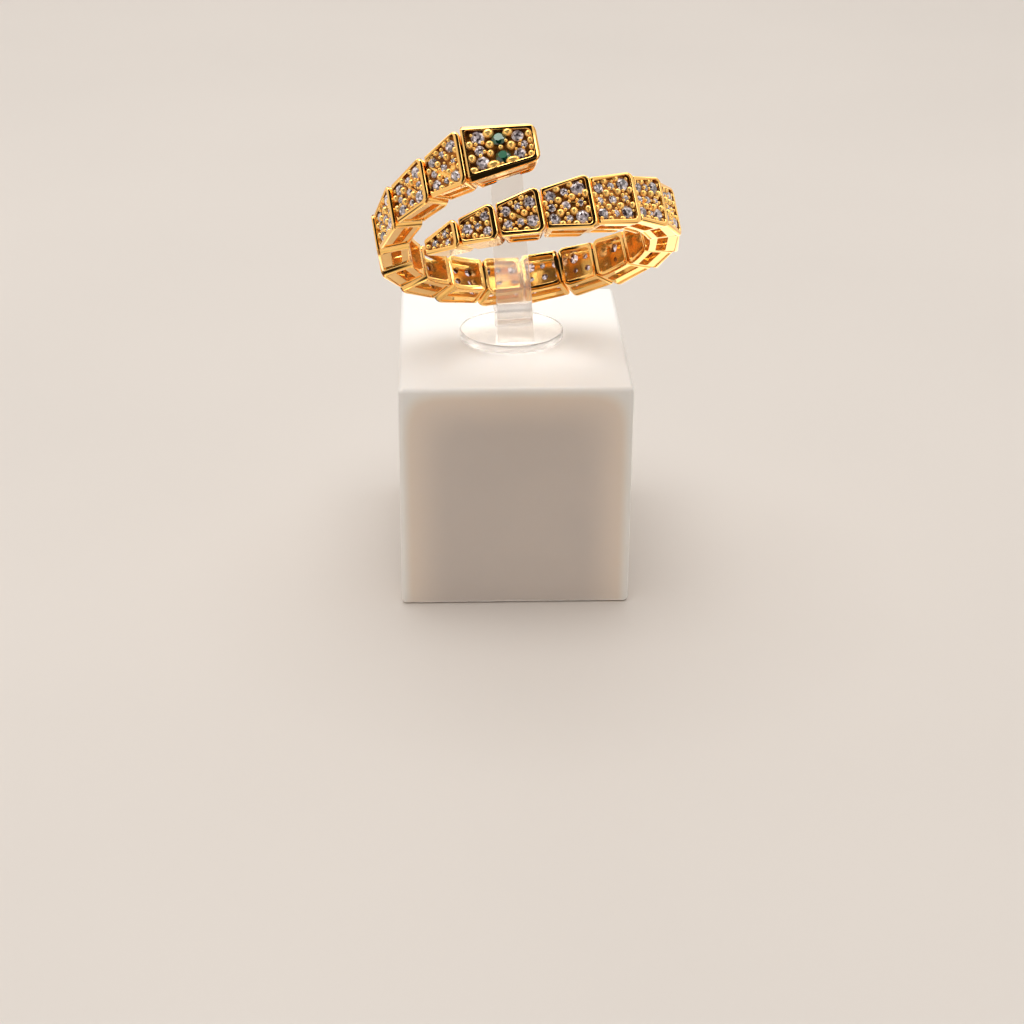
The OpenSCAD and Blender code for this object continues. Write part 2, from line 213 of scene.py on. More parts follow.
@dataclass(frozen=True)
class BandPlan:
    """The sizes and places of the band's links, as the part's source has them."""

    ring_r: float = 22.9 / 2
    band_t: float = 2.55
    pitch: float = 4.83
    tail_deg: float = -43.0
    level_deg: float = 162.0
    link_gap: float = 0.08
    step_down: float = 0.2
    step_share: float = 0.85
    side_taper: float = 0.3
    field_depth: float = 0.3
    floor_t: float = 0.4
    side_margin: float = 0.36
    start_margin: float = 0.15
    end_margin: float = 0.5
    wall_t: float = 0.38
    rail_h: float = 0.66
    slot_h: float = 0.76
    head_slot_h: float = 0.35
    rib_deg: float = 2.1
    tip_w: float = 1.2
    tip_lift: float = 0.25
    head_w: float = 4.45
    head_tip_w: float = 2.8
    head_deg: float = 28.0
    head_lift: float = 0.0
    low_slope_w: float = 0.5
    high_slope_w: float = 0.35
    tip_slope_w: float = 0.25
    head_slope_deg: float = 38.0
    head_start_margin: float = 0.4
    head_end_margin: float = 0.5
    head_side_margin: float = 0.15
    full_field_w: float = 2.7
    full_field_l: float = 3.0
    girdle_lift: float = 0.05
    bead_lift: float = 0.08
    seat_gap: float = 0.03
    seat_depth: float = 0.25
    drill_share: float = 0.95
    closed_links: int = 2
    centre: tuple[float, float, float] = (0.82, -8.6, 29.6)
    slant: tuple[float, float, float] = (-39.3, -9.1, 2.9)
    rows: tuple[LinkRow, ...] = (
        LinkRow(16.3, 2.4, 0.1, StonePattern.TIP),
        LinkRow(15, 2.95, -0.09, StonePattern.SMALL),
        LinkRow(17, 3.65, -0.14, StonePattern.MIDDLE),
        LinkRow(19.5, 4.25, -0.08),
        LinkRow(20, 4.1, 0.12),
        LinkRow(18, 4.05, 0.22),
        LinkRow(18, 4.0, 0.25),
        LinkRow(22.5, 3.8, 0.18),
        LinkRow(20, 3.7, 0.1),
        LinkRow(21.5, 3.9, 0.14),
        LinkRow(19.5, 3.9, 0.18),
        LinkRow(19.5, 3.7, 0.05),
        LinkRow(19.5, 3.6, -0.05),
        LinkRow(20, 3.5, -0.1),
        LinkRow(20.5, 3.7, -0.1),
        LinkRow(19, 3.7, -0.1),
        LinkRow(19.5, 3.45, -0.1),
        LinkRow(21.5, 3.55, 0),
        LinkRow(20, 3.7, 0.2),
        LinkRow(16.5, 4.4, 0.56),
    )

    @property
    def head(self) -> int:
        """Index of the head, which follows the last link."""
        return len(self.rows)

    @property
    def finger_r(self) -> float:
        """Radius of the hole for the finger."""
        return self.ring_r - self.band_t

    def arc(self, i: int) -> float:
        """Angle that a link takes round the ring."""
        return self.head_deg if i == self.head else self.rows[i].arc

    def start(self, i: int) -> float:
        """Angle at which a link starts."""
        return self.tail_deg + sum(self.arc(k) for k in range(i))

    def lift(self, i: int) -> float:
        """Finds the shift of a link's raised end along the axis.

        Args:
            i: The link, or -1 for the tail's tip.

        Returns:
            The shift in mm.
        """
        if i < 0:
            return self.tip_lift
        return self.head_lift if i == self.head else self.rows[i].lift

    def end_w(self, i: int) -> float:
        """Width of a link's raised end."""
        return self.head_tip_w if i == self.head else self.rows[i].end_w

    def start_w(self, i: int) -> float:
        """Finds the width of a link's narrow end.

        Args:
            i: The link.

        Returns:
            The width in mm.
        """
        if i == 0:
            return self.tip_w
        return self.head_w if i == self.head else self.end_w(i - 1) * self.step_share

    def end_heights(self, i: int) -> tuple[float, float]:
        """Finds the heights of the band's middle along the axis at a link's two ends.

        Args:
            i: The link.

        Returns:
            The heights at the narrow and the wide end.
        """
        ends = (self.start(i), self.start(i) + self.arc(i))
        low, high = (self.pitch * (d - self.level_deg) / 360 for d in ends)
        return low + self.lift(i - 1), high + self.lift(i)

    def half_deg(self, i: int) -> float:
        """Half of a link's angle, less its share of the slits."""
        return self.arc(i) / 2 - math.degrees(math.asin(self.link_gap / 2 / self.ring_r))

    def start_r(self, i: int) -> float:
        """Outer radius at a link's narrow end."""
        return self.ring_r - (0 if i == self.head else self.step_down)

    def half_l(self, i: int) -> float:
        """Half of the length of a link's plate."""
        return self.ring_r * math.sin(math.radians(self.arc(i) / 2))

    def plate_h(self, i: int) -> float:
        """Height of a link's plate above the axis."""
        return (self.start_r(i) + self.ring_r) / 2 * math.cos(math.radians(self.arc(i) / 2))

    def plate_slope(self, i: int) -> float:
        """Slope of a link's plate up to its raised end."""
        rise = (self.ring_r - self.start_r(i)) * math.cos(math.radians(self.arc(i) / 2))
        return math.degrees(math.atan(rise / (2 * self.half_l(i))))

    def corners(
        self, i: int, side0: float = 0, side1: float = 0, start: float = 0, end: float = 0
    ) -> list[Point]:
        """Finds the corners of a link's plate, set in by margins.

        Args:
            i: The link.
            side0: Margin at the sides of the narrow end.
            side1: Margin at the sides of the wide end.
            start: Margin at the narrow end.
            end: Margin at the wide end.

        Returns:
            The lower start, lower end, upper end and upper start corners.
        """
        x = self.half_l(i)
        z0, z1 = self.end_heights(i)
        half_rise = (z1 - z0) / 2
        w0 = self.start_w(i) / 2 - side0
        w1 = self.end_w(i) / 2 - side1
        return [
            (-x + start, -half_rise - w0),
            (x - end, half_rise - w1),
            (x - end, half_rise + w1),
            (-x + start, -half_rise + w0),
        ]

    def field(self, i: int) -> list[Point]:
        """Finds the corners of a link's stone field.

        Args:
            i: The link.

        Returns:
            The lower start, lower end, upper end and upper start corners.
        """
        if i != self.head:
            m = self.side_margin
            return self.corners(i, m, m, self.start_margin, self.end_margin)
        m = self.head_side_margin
        tip = self.tip_slope_w + m
        ends = (self.head_start_margin, self.head_end_margin)
        low = self.corners(i, self.low_slope_w + m, tip, *ends)
        high = self.corners(i, self.high_slope_w + m, tip, *ends)
        return [low[0], low[1], high[2], high[3]]

    def place(self, i: int, spot: Spot) -> Vector:
        """Finds the place of a spot on a link's plate.

        Args:
            i: The link.
            spot: The spot.

        Returns:
            The place, along and across the plate.
        """
        f = [Vector(p) for p in self.field(i)]
        low = f[0].lerp(f[1], spot.u + 0.5)
        high = f[3].lerp(f[2], spot.u + 0.5)
        return low.lerp(high, spot.v + 0.5)

    def pattern(self, i: int) -> StonePattern:
        """Stone pattern of a link."""
        return StonePattern.HEAD if i == self.head else self.rows[i].pattern

    def fit(self, i: int) -> float:
        """Finds how far stones and beads shrink on a narrow or short link.

        Args:
            i: The link.

        Returns:
            The share of their full size.
        """
        if self.pattern(i) is not StonePattern.BODY:
            return 1.0
        f = self.field(i)
        return min(1.0, (f[2][1] - f[1][1]) / self.full_field_w, (f[1][0] - f[0][0]) / self.full_field_l)

    def ring_frame(self, i: int) -> Matrix:
        """Makes the matrix from a link's own axes (along, across, outwards) to the model's.

        Args:
            i: The link.

        Returns:
            The matrix, in mm.
        """
        middle = self.start(i) + self.arc(i) / 2
        up = Matrix.Translation((0, 0, sum(self.end_heights(i)) / 2))
        return Matrix.Translation(self.centre) @ turn(*self.slant) @ up @ turn(z=middle) @ turn(x=90)

    def plate_frame(self, i: int) -> Matrix:
        """Matrix from a plate's axes, with its outer face at z = 0, to its link's."""
        return Matrix.Translation((0, 0, self.plate_h(i))) @ turn(y=-self.plate_slope(i))


PLAN = BandPlan()


@dataclass(frozen=True)
class Cut:
    """A flat cut: what lies on the side that the normal points to is taken away."""

    at: Vector
    normal: Vector

    def depth(self, p: Vector) -> float:
        """Depth of a point under the cut's face."""
        return -(p - self.at).dot(self.normal)

    def holds(self, edge: BMEdge, near: float = 1e-4) -> bool:
        """Whether both ends of an edge lie on the cut's face."""
        return all(abs(self.depth(v.co)) < near for v in edge.verts)


def add_object(name: str, data: bpy.types.ID) -> Object:
    """Makes an object and links it into the scene.

    Args:
        name: Its name.
        data: Its mesh, lamp or camera.

    Returns:
        The object.
    """
    obj = bpy.data.objects.new(name, data)
    bpy.context.scene.collection.objects.link(obj)
    return obj


class Shaping:
    """Bench work on meshes, in millimetres."""

    # Distances under which points count as one, and angles in degrees under which faces do.
    SAME_PLACE = 1e-6
    NEAR = 0.004
    SKIN_NEAR = 0.012
    SKIN_FLAT_DEG = 0.5
    FLAT_DEG = (0.6, 0.3, 0.1)

    @staticmethod
    def box(low: Sequence[float], high: Sequence[float]) -> BMesh:
        """Makes a box.

        Args:
            low: Its lowest corner.
            high: Its highest corner.

        Returns:
            The box as a closed mesh.
        """
        bm = bmesh.new()
        size = Vector(high) - Vector(low)
        middle = (Vector(high) + Vector(low)) / 2
        bmesh.ops.create_cube(bm, size=1.0, matrix=Matrix.Translation(middle) @ Matrix.Diagonal((*size, 1.0)))
        return bm

    @staticmethod
    def disc(radius: float, depth: float, sides: int, axes: Matrix) -> BMesh:
        """Makes a cylinder.

        Args:
            radius: Its radius.
            depth: Its length along z.
            sides: Number of flat sides.
            axes: Matrix that places its middle.

        Returns:
            The cylinder as a closed mesh.
        """
        bm = bmesh.new()
        bmesh.ops.create_cone(
            bm, cap_ends=True, segments=sides, radius1=radius, radius2=radius, depth=depth, matrix=axes
        )
        return bm

    @staticmethod
    def trim(bm: BMesh, cuts: Iterable[Cut]) -> None:
        """Saws a convex mesh along flat cuts and closes each sawn face.

        Args:
            bm: The mesh.
            cuts: The cuts, in order.
        """
        for cut in cuts:
            geom = [*bm.verts, *bm.edges, *bm.faces]
            done = bmesh.ops.bisect_plane(
                bm, geom=geom, dist=Shaping.SAME_PLACE, plane_co=cut.at, plane_no=cut.normal, clear_outer=True
            )
            rim = [e for e in done["geom_cut"] if isinstance(e, BMEdge) and e.is_boundary]
            if rim:
                bmesh.ops.edgeloop_fill(bm, edges=rim)
        bmesh.ops.recalc_face_normals(bm, faces=bm.faces)

    @staticmethod
    def shared_edges(bm: BMesh, some: Sequence[Cut], others: Sequence[Cut]) -> list[BMEdge]:
        """Finds the edges where faces of two kinds meet.

        Args:
            bm: The mesh.
            some: The cuts that made the faces of one kind.
            others: The cuts that made the faces of the other kind.

        Returns:
            The edges.
        """
        found = [e for e in bm.edges if any(cut.holds(e) for cut in some)]
        return [e for e in found if any(cut.holds(e) for cut in others)]

    @staticmethod
    def round_edges(bm: BMesh, edges: Sequence[BMEdge], width: float, steps: int) -> None:
        """Rounds edges over.

        Args:
            bm: The mesh.
            edges: The edges.
            width: How far each rounding reaches on either side.
            steps: Faces across each rounding.
        """
        if edges:
            bmesh.ops.bevel(
                bm, geom=list(edges), offset=width, segments=steps, profile=0.5,
                affect="EDGES", clamp_overlap=True,
            )

    @staticmethod
    def weld(bm: BMesh, near: float = NEAR) -> None:
        """Melts together corners that all but touch.

        Args:
            bm: The mesh.
            near: Corners closer than this become one.
        """
        bmesh.ops.remove_doubles(bm, verts=bm.verts, dist=near)
        bmesh.ops.dissolve_degenerate(bm, edges=bm.edges, dist=near)

    @staticmethod
    def rolled(bm: BMesh, radius: float, ways: Iterable[Vector]) -> BMesh:
        """Wraps a convex core in a skin of even thickness, which rounds all its edges.

        Args:
            bm: The core, which is used up.
            radius: Thickness of the skin and radius of the rounded edges.
            ways: Directions of the core's broad faces.

        Returns:
            The rounded body.
        """
        ball = bmesh.new()
        bmesh.ops.create_icosphere(ball, subdivisions=3, radius=radius)
        skin = [v.co.copy() for v in ball.verts] + [way * radius for way in ways]
        ball.free()
        made = bmesh.new()
        for corner in bm.verts:
            for p in skin:
                made.verts.new(corner.co + p)
        bm.free()
        done = bmesh.ops.convex_hull(made, input=made.verts, use_existing_faces=False)
        left = (*done["geom_interior"], *done["geom_unused"])
        spare = {piece for piece in left if isinstance(piece, BMVert)}
        bmesh.ops.delete(made, geom=list(spare), context="VERTS")
        Shaping.weld(made, Shaping.SKIN_NEAR)
        flat = math.radians(Shaping.SKIN_FLAT_DEG)
        bmesh.ops.dissolve_limit(made, angle_limit=flat, verts=made.verts, edges=made.edges)
        bmesh.ops.recalc_face_normals(made, faces=made.faces)
        return made

    @staticmethod
    def merge_flat_faces(mesh: bpy.types.Mesh) -> None:
        """Merges neighbouring faces that lie in one plane, so that broad faces shade evenly.

        Args:
            mesh: The mesh. It keeps its faces where merging them would open it.
        """
        for degrees in Shaping.FLAT_DEG:
            bm = bmesh.new()
            bm.from_mesh(mesh)
            bmesh.ops.dissolve_limit(bm, angle_limit=math.radians(degrees), verts=bm.verts, edges=bm.edges)
            closed = all(len(e.link_faces) == 2 for e in bm.edges)
            if closed:
                bm.to_mesh(mesh)
            bm.free()
            if closed:
                return

    @staticmethod
    def prism(outline: Sequence[Point], low: float, high: float, axes: Matrix | None = None) -> BMesh:
        """Extrudes an outline along z.

        Args:
            outline: Its points in order.
            low: Where it starts.
            high: Where it ends.
            axes: Matrix that places it, or None.

        Returns:
            The closed prism.
        """
        return Shaping.stack(outline, [(low, 0.0), (high, 0.0)], axes)

    @staticmethod
    def stack(outline: Sequence[Point], rows: Sequence[Point], axes: Matrix | None = None) -> BMesh:
        """Raises an outline along z while it grows outwards, though not towards the narrow end.

        Args:
            outline: Its points, turning left.
            rows: Height and growth of each stage, from the lowest.
            axes: Matrix that places it, or None.

        Returns:
            The closed solid.
        """
        flat = [Vector(p) for p in outline]
        count = len(flat)
        ways = []
        for k in range(count):
            along = (flat[(k + 1) % count] - flat[k - 1]).normalized()
            ways.append(Vector((max(0.0, along.y), -along.x)))
        bm = bmesh.new()
        rings = [[bm.verts.new((*(p + way * grow), z)) for p, way in zip(flat, ways)] for z, grow in rows]
        bm.faces.new(list(reversed(rings[0])))
        bm.faces.new(rings[-1])
        for low, high in zip(rings, rings[1:]):
            for k in range(count):
                n = (k + 1) % count
                bm.faces.new((low[k], low[n], high[n], high[k]))
        bmesh.ops.recalc_face_normals(bm, faces=bm.faces)
        if axes is not None:
            bm.transform(axes)
        return bm

    @staticmethod
    def joined(parts: Iterable[BMesh]) -> BMesh:
        """Puts several meshes into one and frees them.

        Args:
            parts: The meshes.

        Returns:
            The one mesh.
        """
        whole = bmesh.new()
        for part in parts:
            mesh = bpy.data.meshes.new("part")
            part.to_mesh(mesh)
            whole.from_mesh(mesh)
            bpy.data.meshes.remove(mesh)
            part.free()
        return whole

    @staticmethod
    def to_object(bm: BMesh, name: str) -> Object:
        """Links a mesh into the scene as an object and frees the source.

        Args:
            bm: The mesh.
            name: The object's name.

        Returns:
            The object.
        """
        mesh = bpy.data.meshes.new(name)
        bm.to_mesh(mesh)
        bm.free()
        return add_object(name, mesh)


class Carving:
    """A blank and the tools that carve it, applied together in the order given.

    A rounding is tried at each share of its full width in turn, until nothing passes the outer faces by
    more than the slack.
    """

    SHARES = (1.0, 0.8, 0.6, 0.4, 0.25, 0.1)
    SLACK = 0.003

    def __init__(self, blank: BMesh, name: str) -> None:
        """Starts a carving.

        Args:
            blank: The mesh to carve.
            name: The finished piece's name.
        """
        self.piece = Shaping.to_object(blank, name)
        self.tools: list[Object] = []

    def _work(self, tool: BMesh, operation: str) -> None:
        """Adds a boolean step with a tool.

        Args:
            tool: The closed mesh that works on the piece.
            operation: Blender's name of the step.
        """
        obj = Shaping.to_object(tool, "tool")
        self.tools.append(obj)
        step = self.piece.modifiers.new(operation, "BOOLEAN")
        step.operation = operation
        step.object = obj
        step.solver = "MANIFOLD"

    def cut(self, tool: BMesh) -> None:
        """Cuts a closed mesh out of the piece."""
        self._work(tool, "DIFFERENCE")

    def add(self, tool: BMesh) -> None:
        """Melts a closed mesh into the piece."""
        self._work(tool, "UNION")

    def keep(self, tool: BMesh) -> None:
        """Keeps only what lies inside a closed mesh."""
        self._work(tool, "INTERSECT")

    def soften(self, width: float, steps: int, over_deg: float, within: Sequence[Cut]) -> None:
        """Rounds every edge that is sharper than an angle, as far as that leaves no spikes.

        Args:
            width: How far each rounding reaches on either side.
            steps: Faces across each rounding.
            over_deg: The least angle between two faces whose edge is rounded.
            within: The outer faces, which nothing may pass.
        """
        graph = bpy.context.evaluated_depsgraph_get()
        graph.update()
        before = BVHTree.FromObject(self.piece, graph)
        step = self.piece.modifiers.new("soften", "BEVEL")
        step.segments = steps
        step.limit_method = "ANGLE"
        step.angle_limit = math.radians(over_deg)
        step.use_clamp_overlap = False
        step.miter_outer = "MITER_ARC"
        for share in self.SHARES:
            step.width = width * share
            graph.update()
            shown = [v.co for v in self.piece.evaluated_get(graph).data.vertices]
            near = all(before.find_nearest(p)[3] < step.width for p in shown)
            if near and all(cut.depth(p) > -self.SLACK for p in shown for cut in within):
                return
        self.piece.modifiers.remove(step)

    def facet(self) -> None:
        """Splits every face into triangles, so that later cuts can't fold a broad face."""
        self.piece.modifiers.new("facet", "TRIANGULATE")

    def finish(self) -> Object:
        """Applies every step and puts the tools away.

        Returns:
            The finished piece, still in its own axes and in mm.
        """
        graph = bpy.context.evaluated_depsgraph_get()
        graph.update()
        made = bpy.data.meshes.new_from_object(self.piece.evaluated_get(graph))
        made.materials.clear()
        Shaping.merge_flat_faces(made)
        blank = self.piece.data
        self.piece.modifiers.clear()
        self.piece.data = made
        made.name = self.piece.name
        bpy.data.meshes.remove(blank)
        for tool in self.tools:
            mesh = tool.data
            bpy.data.objects.remove(tool)
            bpy.data.meshes.remove(mesh)
        return self.piece


def fit_to_frame(piece: Object, slot: str, *nodes: str) -> None:
    """Hands a finished piece to the frame in place of the nodes that it dresses.

    Args:
        piece: The piece, already in metres.
        slot: The record's material slot; not used.
        nodes: The nodes that it stands for.
    """
    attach(piece, ROOT_BODY)
    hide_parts(*nodes)
    LOG.info("%s: %d faces, for %s", piece.name, len(piece.data.polygons), ", ".join(nodes))


def dress(piece: Object, materials: Iterable[Material], axes: Matrix, slot: str, node: str) -> Object:
    """Places a piece, gives it its materials, shades it smooth apart from its sharp edges and fits it.

    Args:
        piece: The piece, in its own axes and in mm.
        materials: Its materials, by the numbers that its faces carry.
        axes: Matrix from its axes to the model's, in mm.
        slot: The record's material slot.
        node: The node that it stands for.

    Returns:
        The finished piece.
    """
    mesh = piece.data
    mesh.transform(Matrix.Scale(MM, 4) @ axes)
    for material in materials:
        mesh.materials.append(material)
    mesh.shade_smooth()
    mesh.set_sharp_from_angle(angle=math.radians(SMOOTH_DEG))
    step = piece.modifiers.new("flat_faces", "WEIGHTED_NORMAL")
    step.keep_sharp = True
    fit_to_frame(piece, slot, node)
    return piece


class NodeBench:
    """A node tree, with short ways to add the nodes that the finishes and the room share."""

    def __init__(self, tree: bpy.types.NodeTree, coordinates: str) -> None:
        """Starts work on a tree.

        Args:
            tree: The tree.
            coordinates: Which texture coordinates give the place on a surface, or the way of a ray.
        """
        self.tree = tree
        self.place = tree.nodes.new("ShaderNodeTexCoord").outputs[coordinates]

    def _feed(self, term: float | Sequence[float] | Socket, socket: Socket) -> None:
        """Gives a socket a fixed value or the result of another node.

        Args:
            term: The value or the result.
            socket: The socket.
        """
        if isinstance(term, Socket):
            self.tree.links.new(term, socket)
        else:
            socket.default_value = term

    def noise(self, grain_mm: float, detail: float = 2.0) -> Socket:
        """Adds a noise.

        Args:
            grain_mm: Size of its grains.
            detail: Layers of finer grain.

        Returns:
            Its value.
        """
        node = self.tree.nodes.new("ShaderNodeTexNoise")
        node.inputs["Scale"].default_value = 1 / (grain_mm * MM)
        node.inputs["Detail"].default_value = detail
        self.tree.links.new(self.place, node.inputs["Vector"])
        return node.outputs["Fac"]

    def axes(self) -> tuple[Socket, ...]:
        """Splits the place into its three coordinates.

        Returns:
            The coordinates, in metres.
        """
        node = self.tree.nodes.new("ShaderNodeSeparateXYZ")
        self.tree.links.new(self.place, node.inputs[0])
        return tuple(node.outputs)

    def along(self, way: Vector) -> Socket:
        """Measures how closely the place points one way.

        Args:
            way: The direction.

        Returns:
            The cosine of the angle between the two.
        """
        node = self.tree.nodes.new("ShaderNodeVectorMath")
        node.operation = "DOT_PRODUCT"
        node.inputs[1].default_value = way
        self.tree.links.new(self.place, node.inputs[0])
        return node.outputs["Value"]

    def reckon(self, operation: str, *terms: float | Socket) -> Socket:
        """Works out a sum.

        Args:
            operation: Blender's name of the sum.
            terms: Its terms.

        Returns:
            The result.
        """
        node = self.tree.nodes.new("ShaderNodeMath")
        node.operation = operation
        for term, socket in zip(terms, node.inputs):
            self._feed(term, socket)
        return node.outputs[0]

    def ranged(
        self, value: Socket, low: float, high: float, source: Point = (0.35, 0.65), soft: bool = False
    ) -> Socket:
        """Maps a value between two limits.

        Args:
            value: The value.
            low: Result at the lower end.
            high: Result at the upper end.
            source: The value's own ends.
            soft: Whether the change starts and ends gently.

        Returns:
            The mapped value.
        """
        node = self.tree.nodes.new("ShaderNodeMapRange")
        node.interpolation_type = "SMOOTHSTEP" if soft else "LINEAR"
        node.inputs["From Min"].default_value, node.inputs["From Max"].default_value = source
        node.inputs["To Min"].default_value = low
        node.inputs["To Max"].default_value = high
        self.tree.links.new(value, node.inputs["Value"])
        return node.outputs["Result"]

    def blend(self, share: Socket, first: Colour | Socket, second: Colour | Socket) -> Socket:
        """Blends two colours.

        Args:
            share: How much of the second colour shows.
            first: The first colour.
            second: The second colour.

        Returns:
            The blend.
        """
        node = self.tree.nodes.new("ShaderNodeMix")
        node.data_type = "RGBA"
        self.tree.links.new(share, node.inputs["Factor"])
        for term, socket in ((first, node.inputs[6]), (second, node.inputs[7])):
            self._feed(term if isinstance(term, Socket) else (*term, 1), socket)
        return node.outputs[2]


class FinishBench(NodeBench):
    """A new material's node tree with its surface shader."""

    def __init__(self, name: str) -> None:
        """Makes the material.

        Args:
            name: Its name.
        """
        self.material = bpy.data.materials.new(name)
        self.material.use_nodes = True
        super().__init__(self.material.node_tree, "Object")
        self.shader = self.tree.nodes["Principled BSDF"]

    def set(self, **values: object) -> None:
        """Sets the shader's sockets; an underscore in a name stands for a space."""
        for name, value in values.items():
            self.shader.inputs[name.replace("_", " ")].default_value = value

    def wire(self, value: Socket, socket: str) -> None:
        """Leads a value to one of the shader's sockets."""
        self.tree.links.new(value, self.shader.inputs[socket])

    def bump(self, height: Socket, depth_mm: float, strength: float = 1.0) -> None:
        """Adds surface relief.

        Args:
            height: The relief, from 0 to 1.
            depth_mm: Its full depth.
            strength: How much of it shows.
        """
        node = self.tree.nodes.new("ShaderNodeBump")
        node.inputs["Strength"].default_value = strength
        node.inputs["Distance"].default_value = depth_mm * MM
        self.tree.links.new(height, node.inputs["Height"])
        self.wire(node.outputs["Normal"], "Normal")


@dataclass(frozen=True)
class GoldFinish:
    """A gold surface, from mirror polish to the floor between stones, which is painted dark as painted shade.

    Its colour drifts between light and deep, its roughness between rough's two ends, and its polishing
    waves have a length and a depth. Its glow is painted light: emission that makes the gold shine
    without a lamp.
    """

    name: str
    light: Colour
    deep: Colour
    rough: Point
    wave_mm: float
    wave_depth_mm: float
    metal: float = 1.0
    drift_mm: float = 1.4
    # Painted light: emission in the light colour, so that the surface shines without a lamp.
    glow: float = 0.0
    patch_mm: float = 0.5

    def material(self) -> Material:
        """Makes the material, with soft waves left by polishing and a slight drift of colour.

        Returns:
            The material.
        """
        bench = FinishBench(self.name)
        # The glow is painted light, by emission.
        bench.set(Metallic=self.metal, Emission_Color=(*self.light, 1), Emission_Strength=self.glow)
        drift = bench.ranged(bench.noise(self.drift_mm), 0, 1)
        bench.wire(bench.blend(drift, self.light, self.deep), "Base Color")
        bench.wire(bench.ranged(bench.noise(self.patch_mm), *self.rough), "Roughness")
        bench.bump(bench.noise(self.wave_mm, 0.0), self.wave_depth_mm)
        return bench.material


@dataclass(frozen=True)
class StoneFinish:
    """A cut stone, its colour painted a little darker or lighter on each facet than on the next, as painted
    reflections.

    Facets whose painted reflection is over 1 glow as painted glints, by up to spark times the bright colour.
    """

    name: str
    bright: Colour
    dark: Colour
    ior: float
    clear: float
    spark: float = 1.0
    rough: float = 0.03
    cloud_mm: float = 0.3
    cloud: float = 0.08

    def material(self) -> Material:
        """Makes the material, which reads the painted reflection that each facet carries.

        Returns:
            The material.
        """
        bench = FinishBench(self.name)
        # Each facet's painted reflection blends the dark and bright colours; over 1 it also glows as a
        # painted glint.
        node = bench.tree.nodes.new("ShaderNodeAttribute")
        node.attribute_name = PAINTED_FACET_LIGHT
        facet_light = node.outputs["Fac"]
        bench.set(Roughness=self.rough, IOR=self.ior, Transmission_Weight=self.clear)
        # The painted reflections vary a little by noise.
        cloud = bench.ranged(bench.noise(self.cloud_mm, 1.0), -self.cloud, self.cloud)
        share = bench.reckon("ADD", facet_light, cloud)
        share.node.use_clamp = True
        bench.wire(bench.blend(share, self.dark, self.bright), "Base Color")
        bench.set(Emission_Color=(*self.bright, 1))
        bench.wire(bench.ranged(facet_light, 0.0, self.spark, (1.0, 2.0)), "Emission Strength")
        return bench.material


@dataclass(frozen=True)
class ClearPlasticFinish:
    """Clear moulded plastic with faint flow marks."""

    name: str
    tint: Colour = (0.98, 0.94, 0.9)
    clear: float = 0.88
    ior: float = 1.49
    rough: Point = (0.1, 0.22)
    flow_mm: float = 1.6
    flow_depth_mm: float = 0.02

    def material(self) -> Material:
        """Makes the material.

        Returns:
            The material.
        """
        bench = FinishBench(self.name)
        bench.set(Base_Color=(*self.tint, 1), IOR=self.ior, Transmission_Weight=self.clear)
        bench.wire(bench.ranged(bench.noise(self.flow_mm / 2, 3.0), *self.rough), "Roughness")
        bench.bump(bench.noise(self.flow_mm, 1.0), self.flow_depth_mm, 0.6)
        return bench.material


@dataclass(frozen=True)
class SatinPlasticFinish:
    """White translucent plastic with a satin skin, which glows a little where it is thin.

    Its colour is painted lighter and warmer along a block's edges and all over its top, and darker in the
    middles of its sides, as painted light and shade.
    """

    name: str
    # Painted light and shade: the core and mottle colours fill the middles of the sides, and a warmer and a
    # lightest colour are painted within their reaches of the edges and over the top.
    core: Colour = (0.7, 0.62, 0.56)
    mottle: Colour = (0.72, 0.635, 0.57)
    painted_edge_light: Colour = (0.93, 0.8, 0.68)
    rim: Colour = (0.98, 0.95, 0.9)
    painted_edge_light_mm: float = 4.0
    painted_rim_light_mm: float = 1.0
    mottle_mm: float = 5.0
    ior: float = 1.5
    glow: float = 0.25
    glow_tint: Colour = (0.9, 0.8, 0.7)
    glow_m: float = 0.002
    rough: Point = (0.32, 0.45)
    patch_mm: float = 0.6
    pit_mm: float = 0.12
    pit_depth_mm: float = 0.004

    def material(self, half_w: float, half_d: float, height: float) -> Material:
        """Makes the material, with a fine pitted skin, a faint mottle and painted light along the edges and
        top.

        Args:
            half_w: Half of the block's width.
            half_d: Half of the block's depth.
            height: The block's height.

        Returns:
            The material.
        """
        bench = FinishBench(self.name)
        bench.set(IOR=self.ior, Subsurface_Weight=self.glow, Subsurface_Radius=self.glow_tint)
        bench.set(Subsurface_Scale=self.glow_m)
        x, y, z = bench.axes()
        # Distance from the nearest upright edge or from the top, which sets the painted light.
        from_side = bench.reckon("SUBTRACT", half_w * MM, bench.reckon("ABSOLUTE", x))
        from_front = bench.reckon("SUBTRACT", half_d * MM, bench.reckon("ABSOLUTE", y))
        from_upright = bench.reckon("ADD", from_side, from_front)
        from_top = bench.reckon("SUBTRACT", height * MM, z)
        from_edge = bench.reckon("SMOOTH_MIN", from_upright, from_top, self.painted_edge_light_mm * MM)
        mottle = bench.ranged(bench.noise(self.mottle_mm, 3.0), 0, 1)
        colour = bench.blend(mottle, self.core, self.mottle)
        # Painted light: the colour turns warmer and lighter towards the edges and is lightest over the top.
        for reach, tint in ((self.painted_edge_light_mm, self.painted_edge_light), (self.painted_rim_light_mm, self.rim)):
            share = bench.ranged(from_edge, 1, 0, (0, reach * MM), soft=True)
            colour = bench.blend(share, colour, tint)
        bench.wire(colour, "Base Color")
        bench.wire(bench.ranged(bench.noise(self.patch_mm, 4.0), *self.rough), "Roughness")
        bench.bump(bench.noise(self.pit_mm, 3.0), self.pit_depth_mm)
        return bench.material


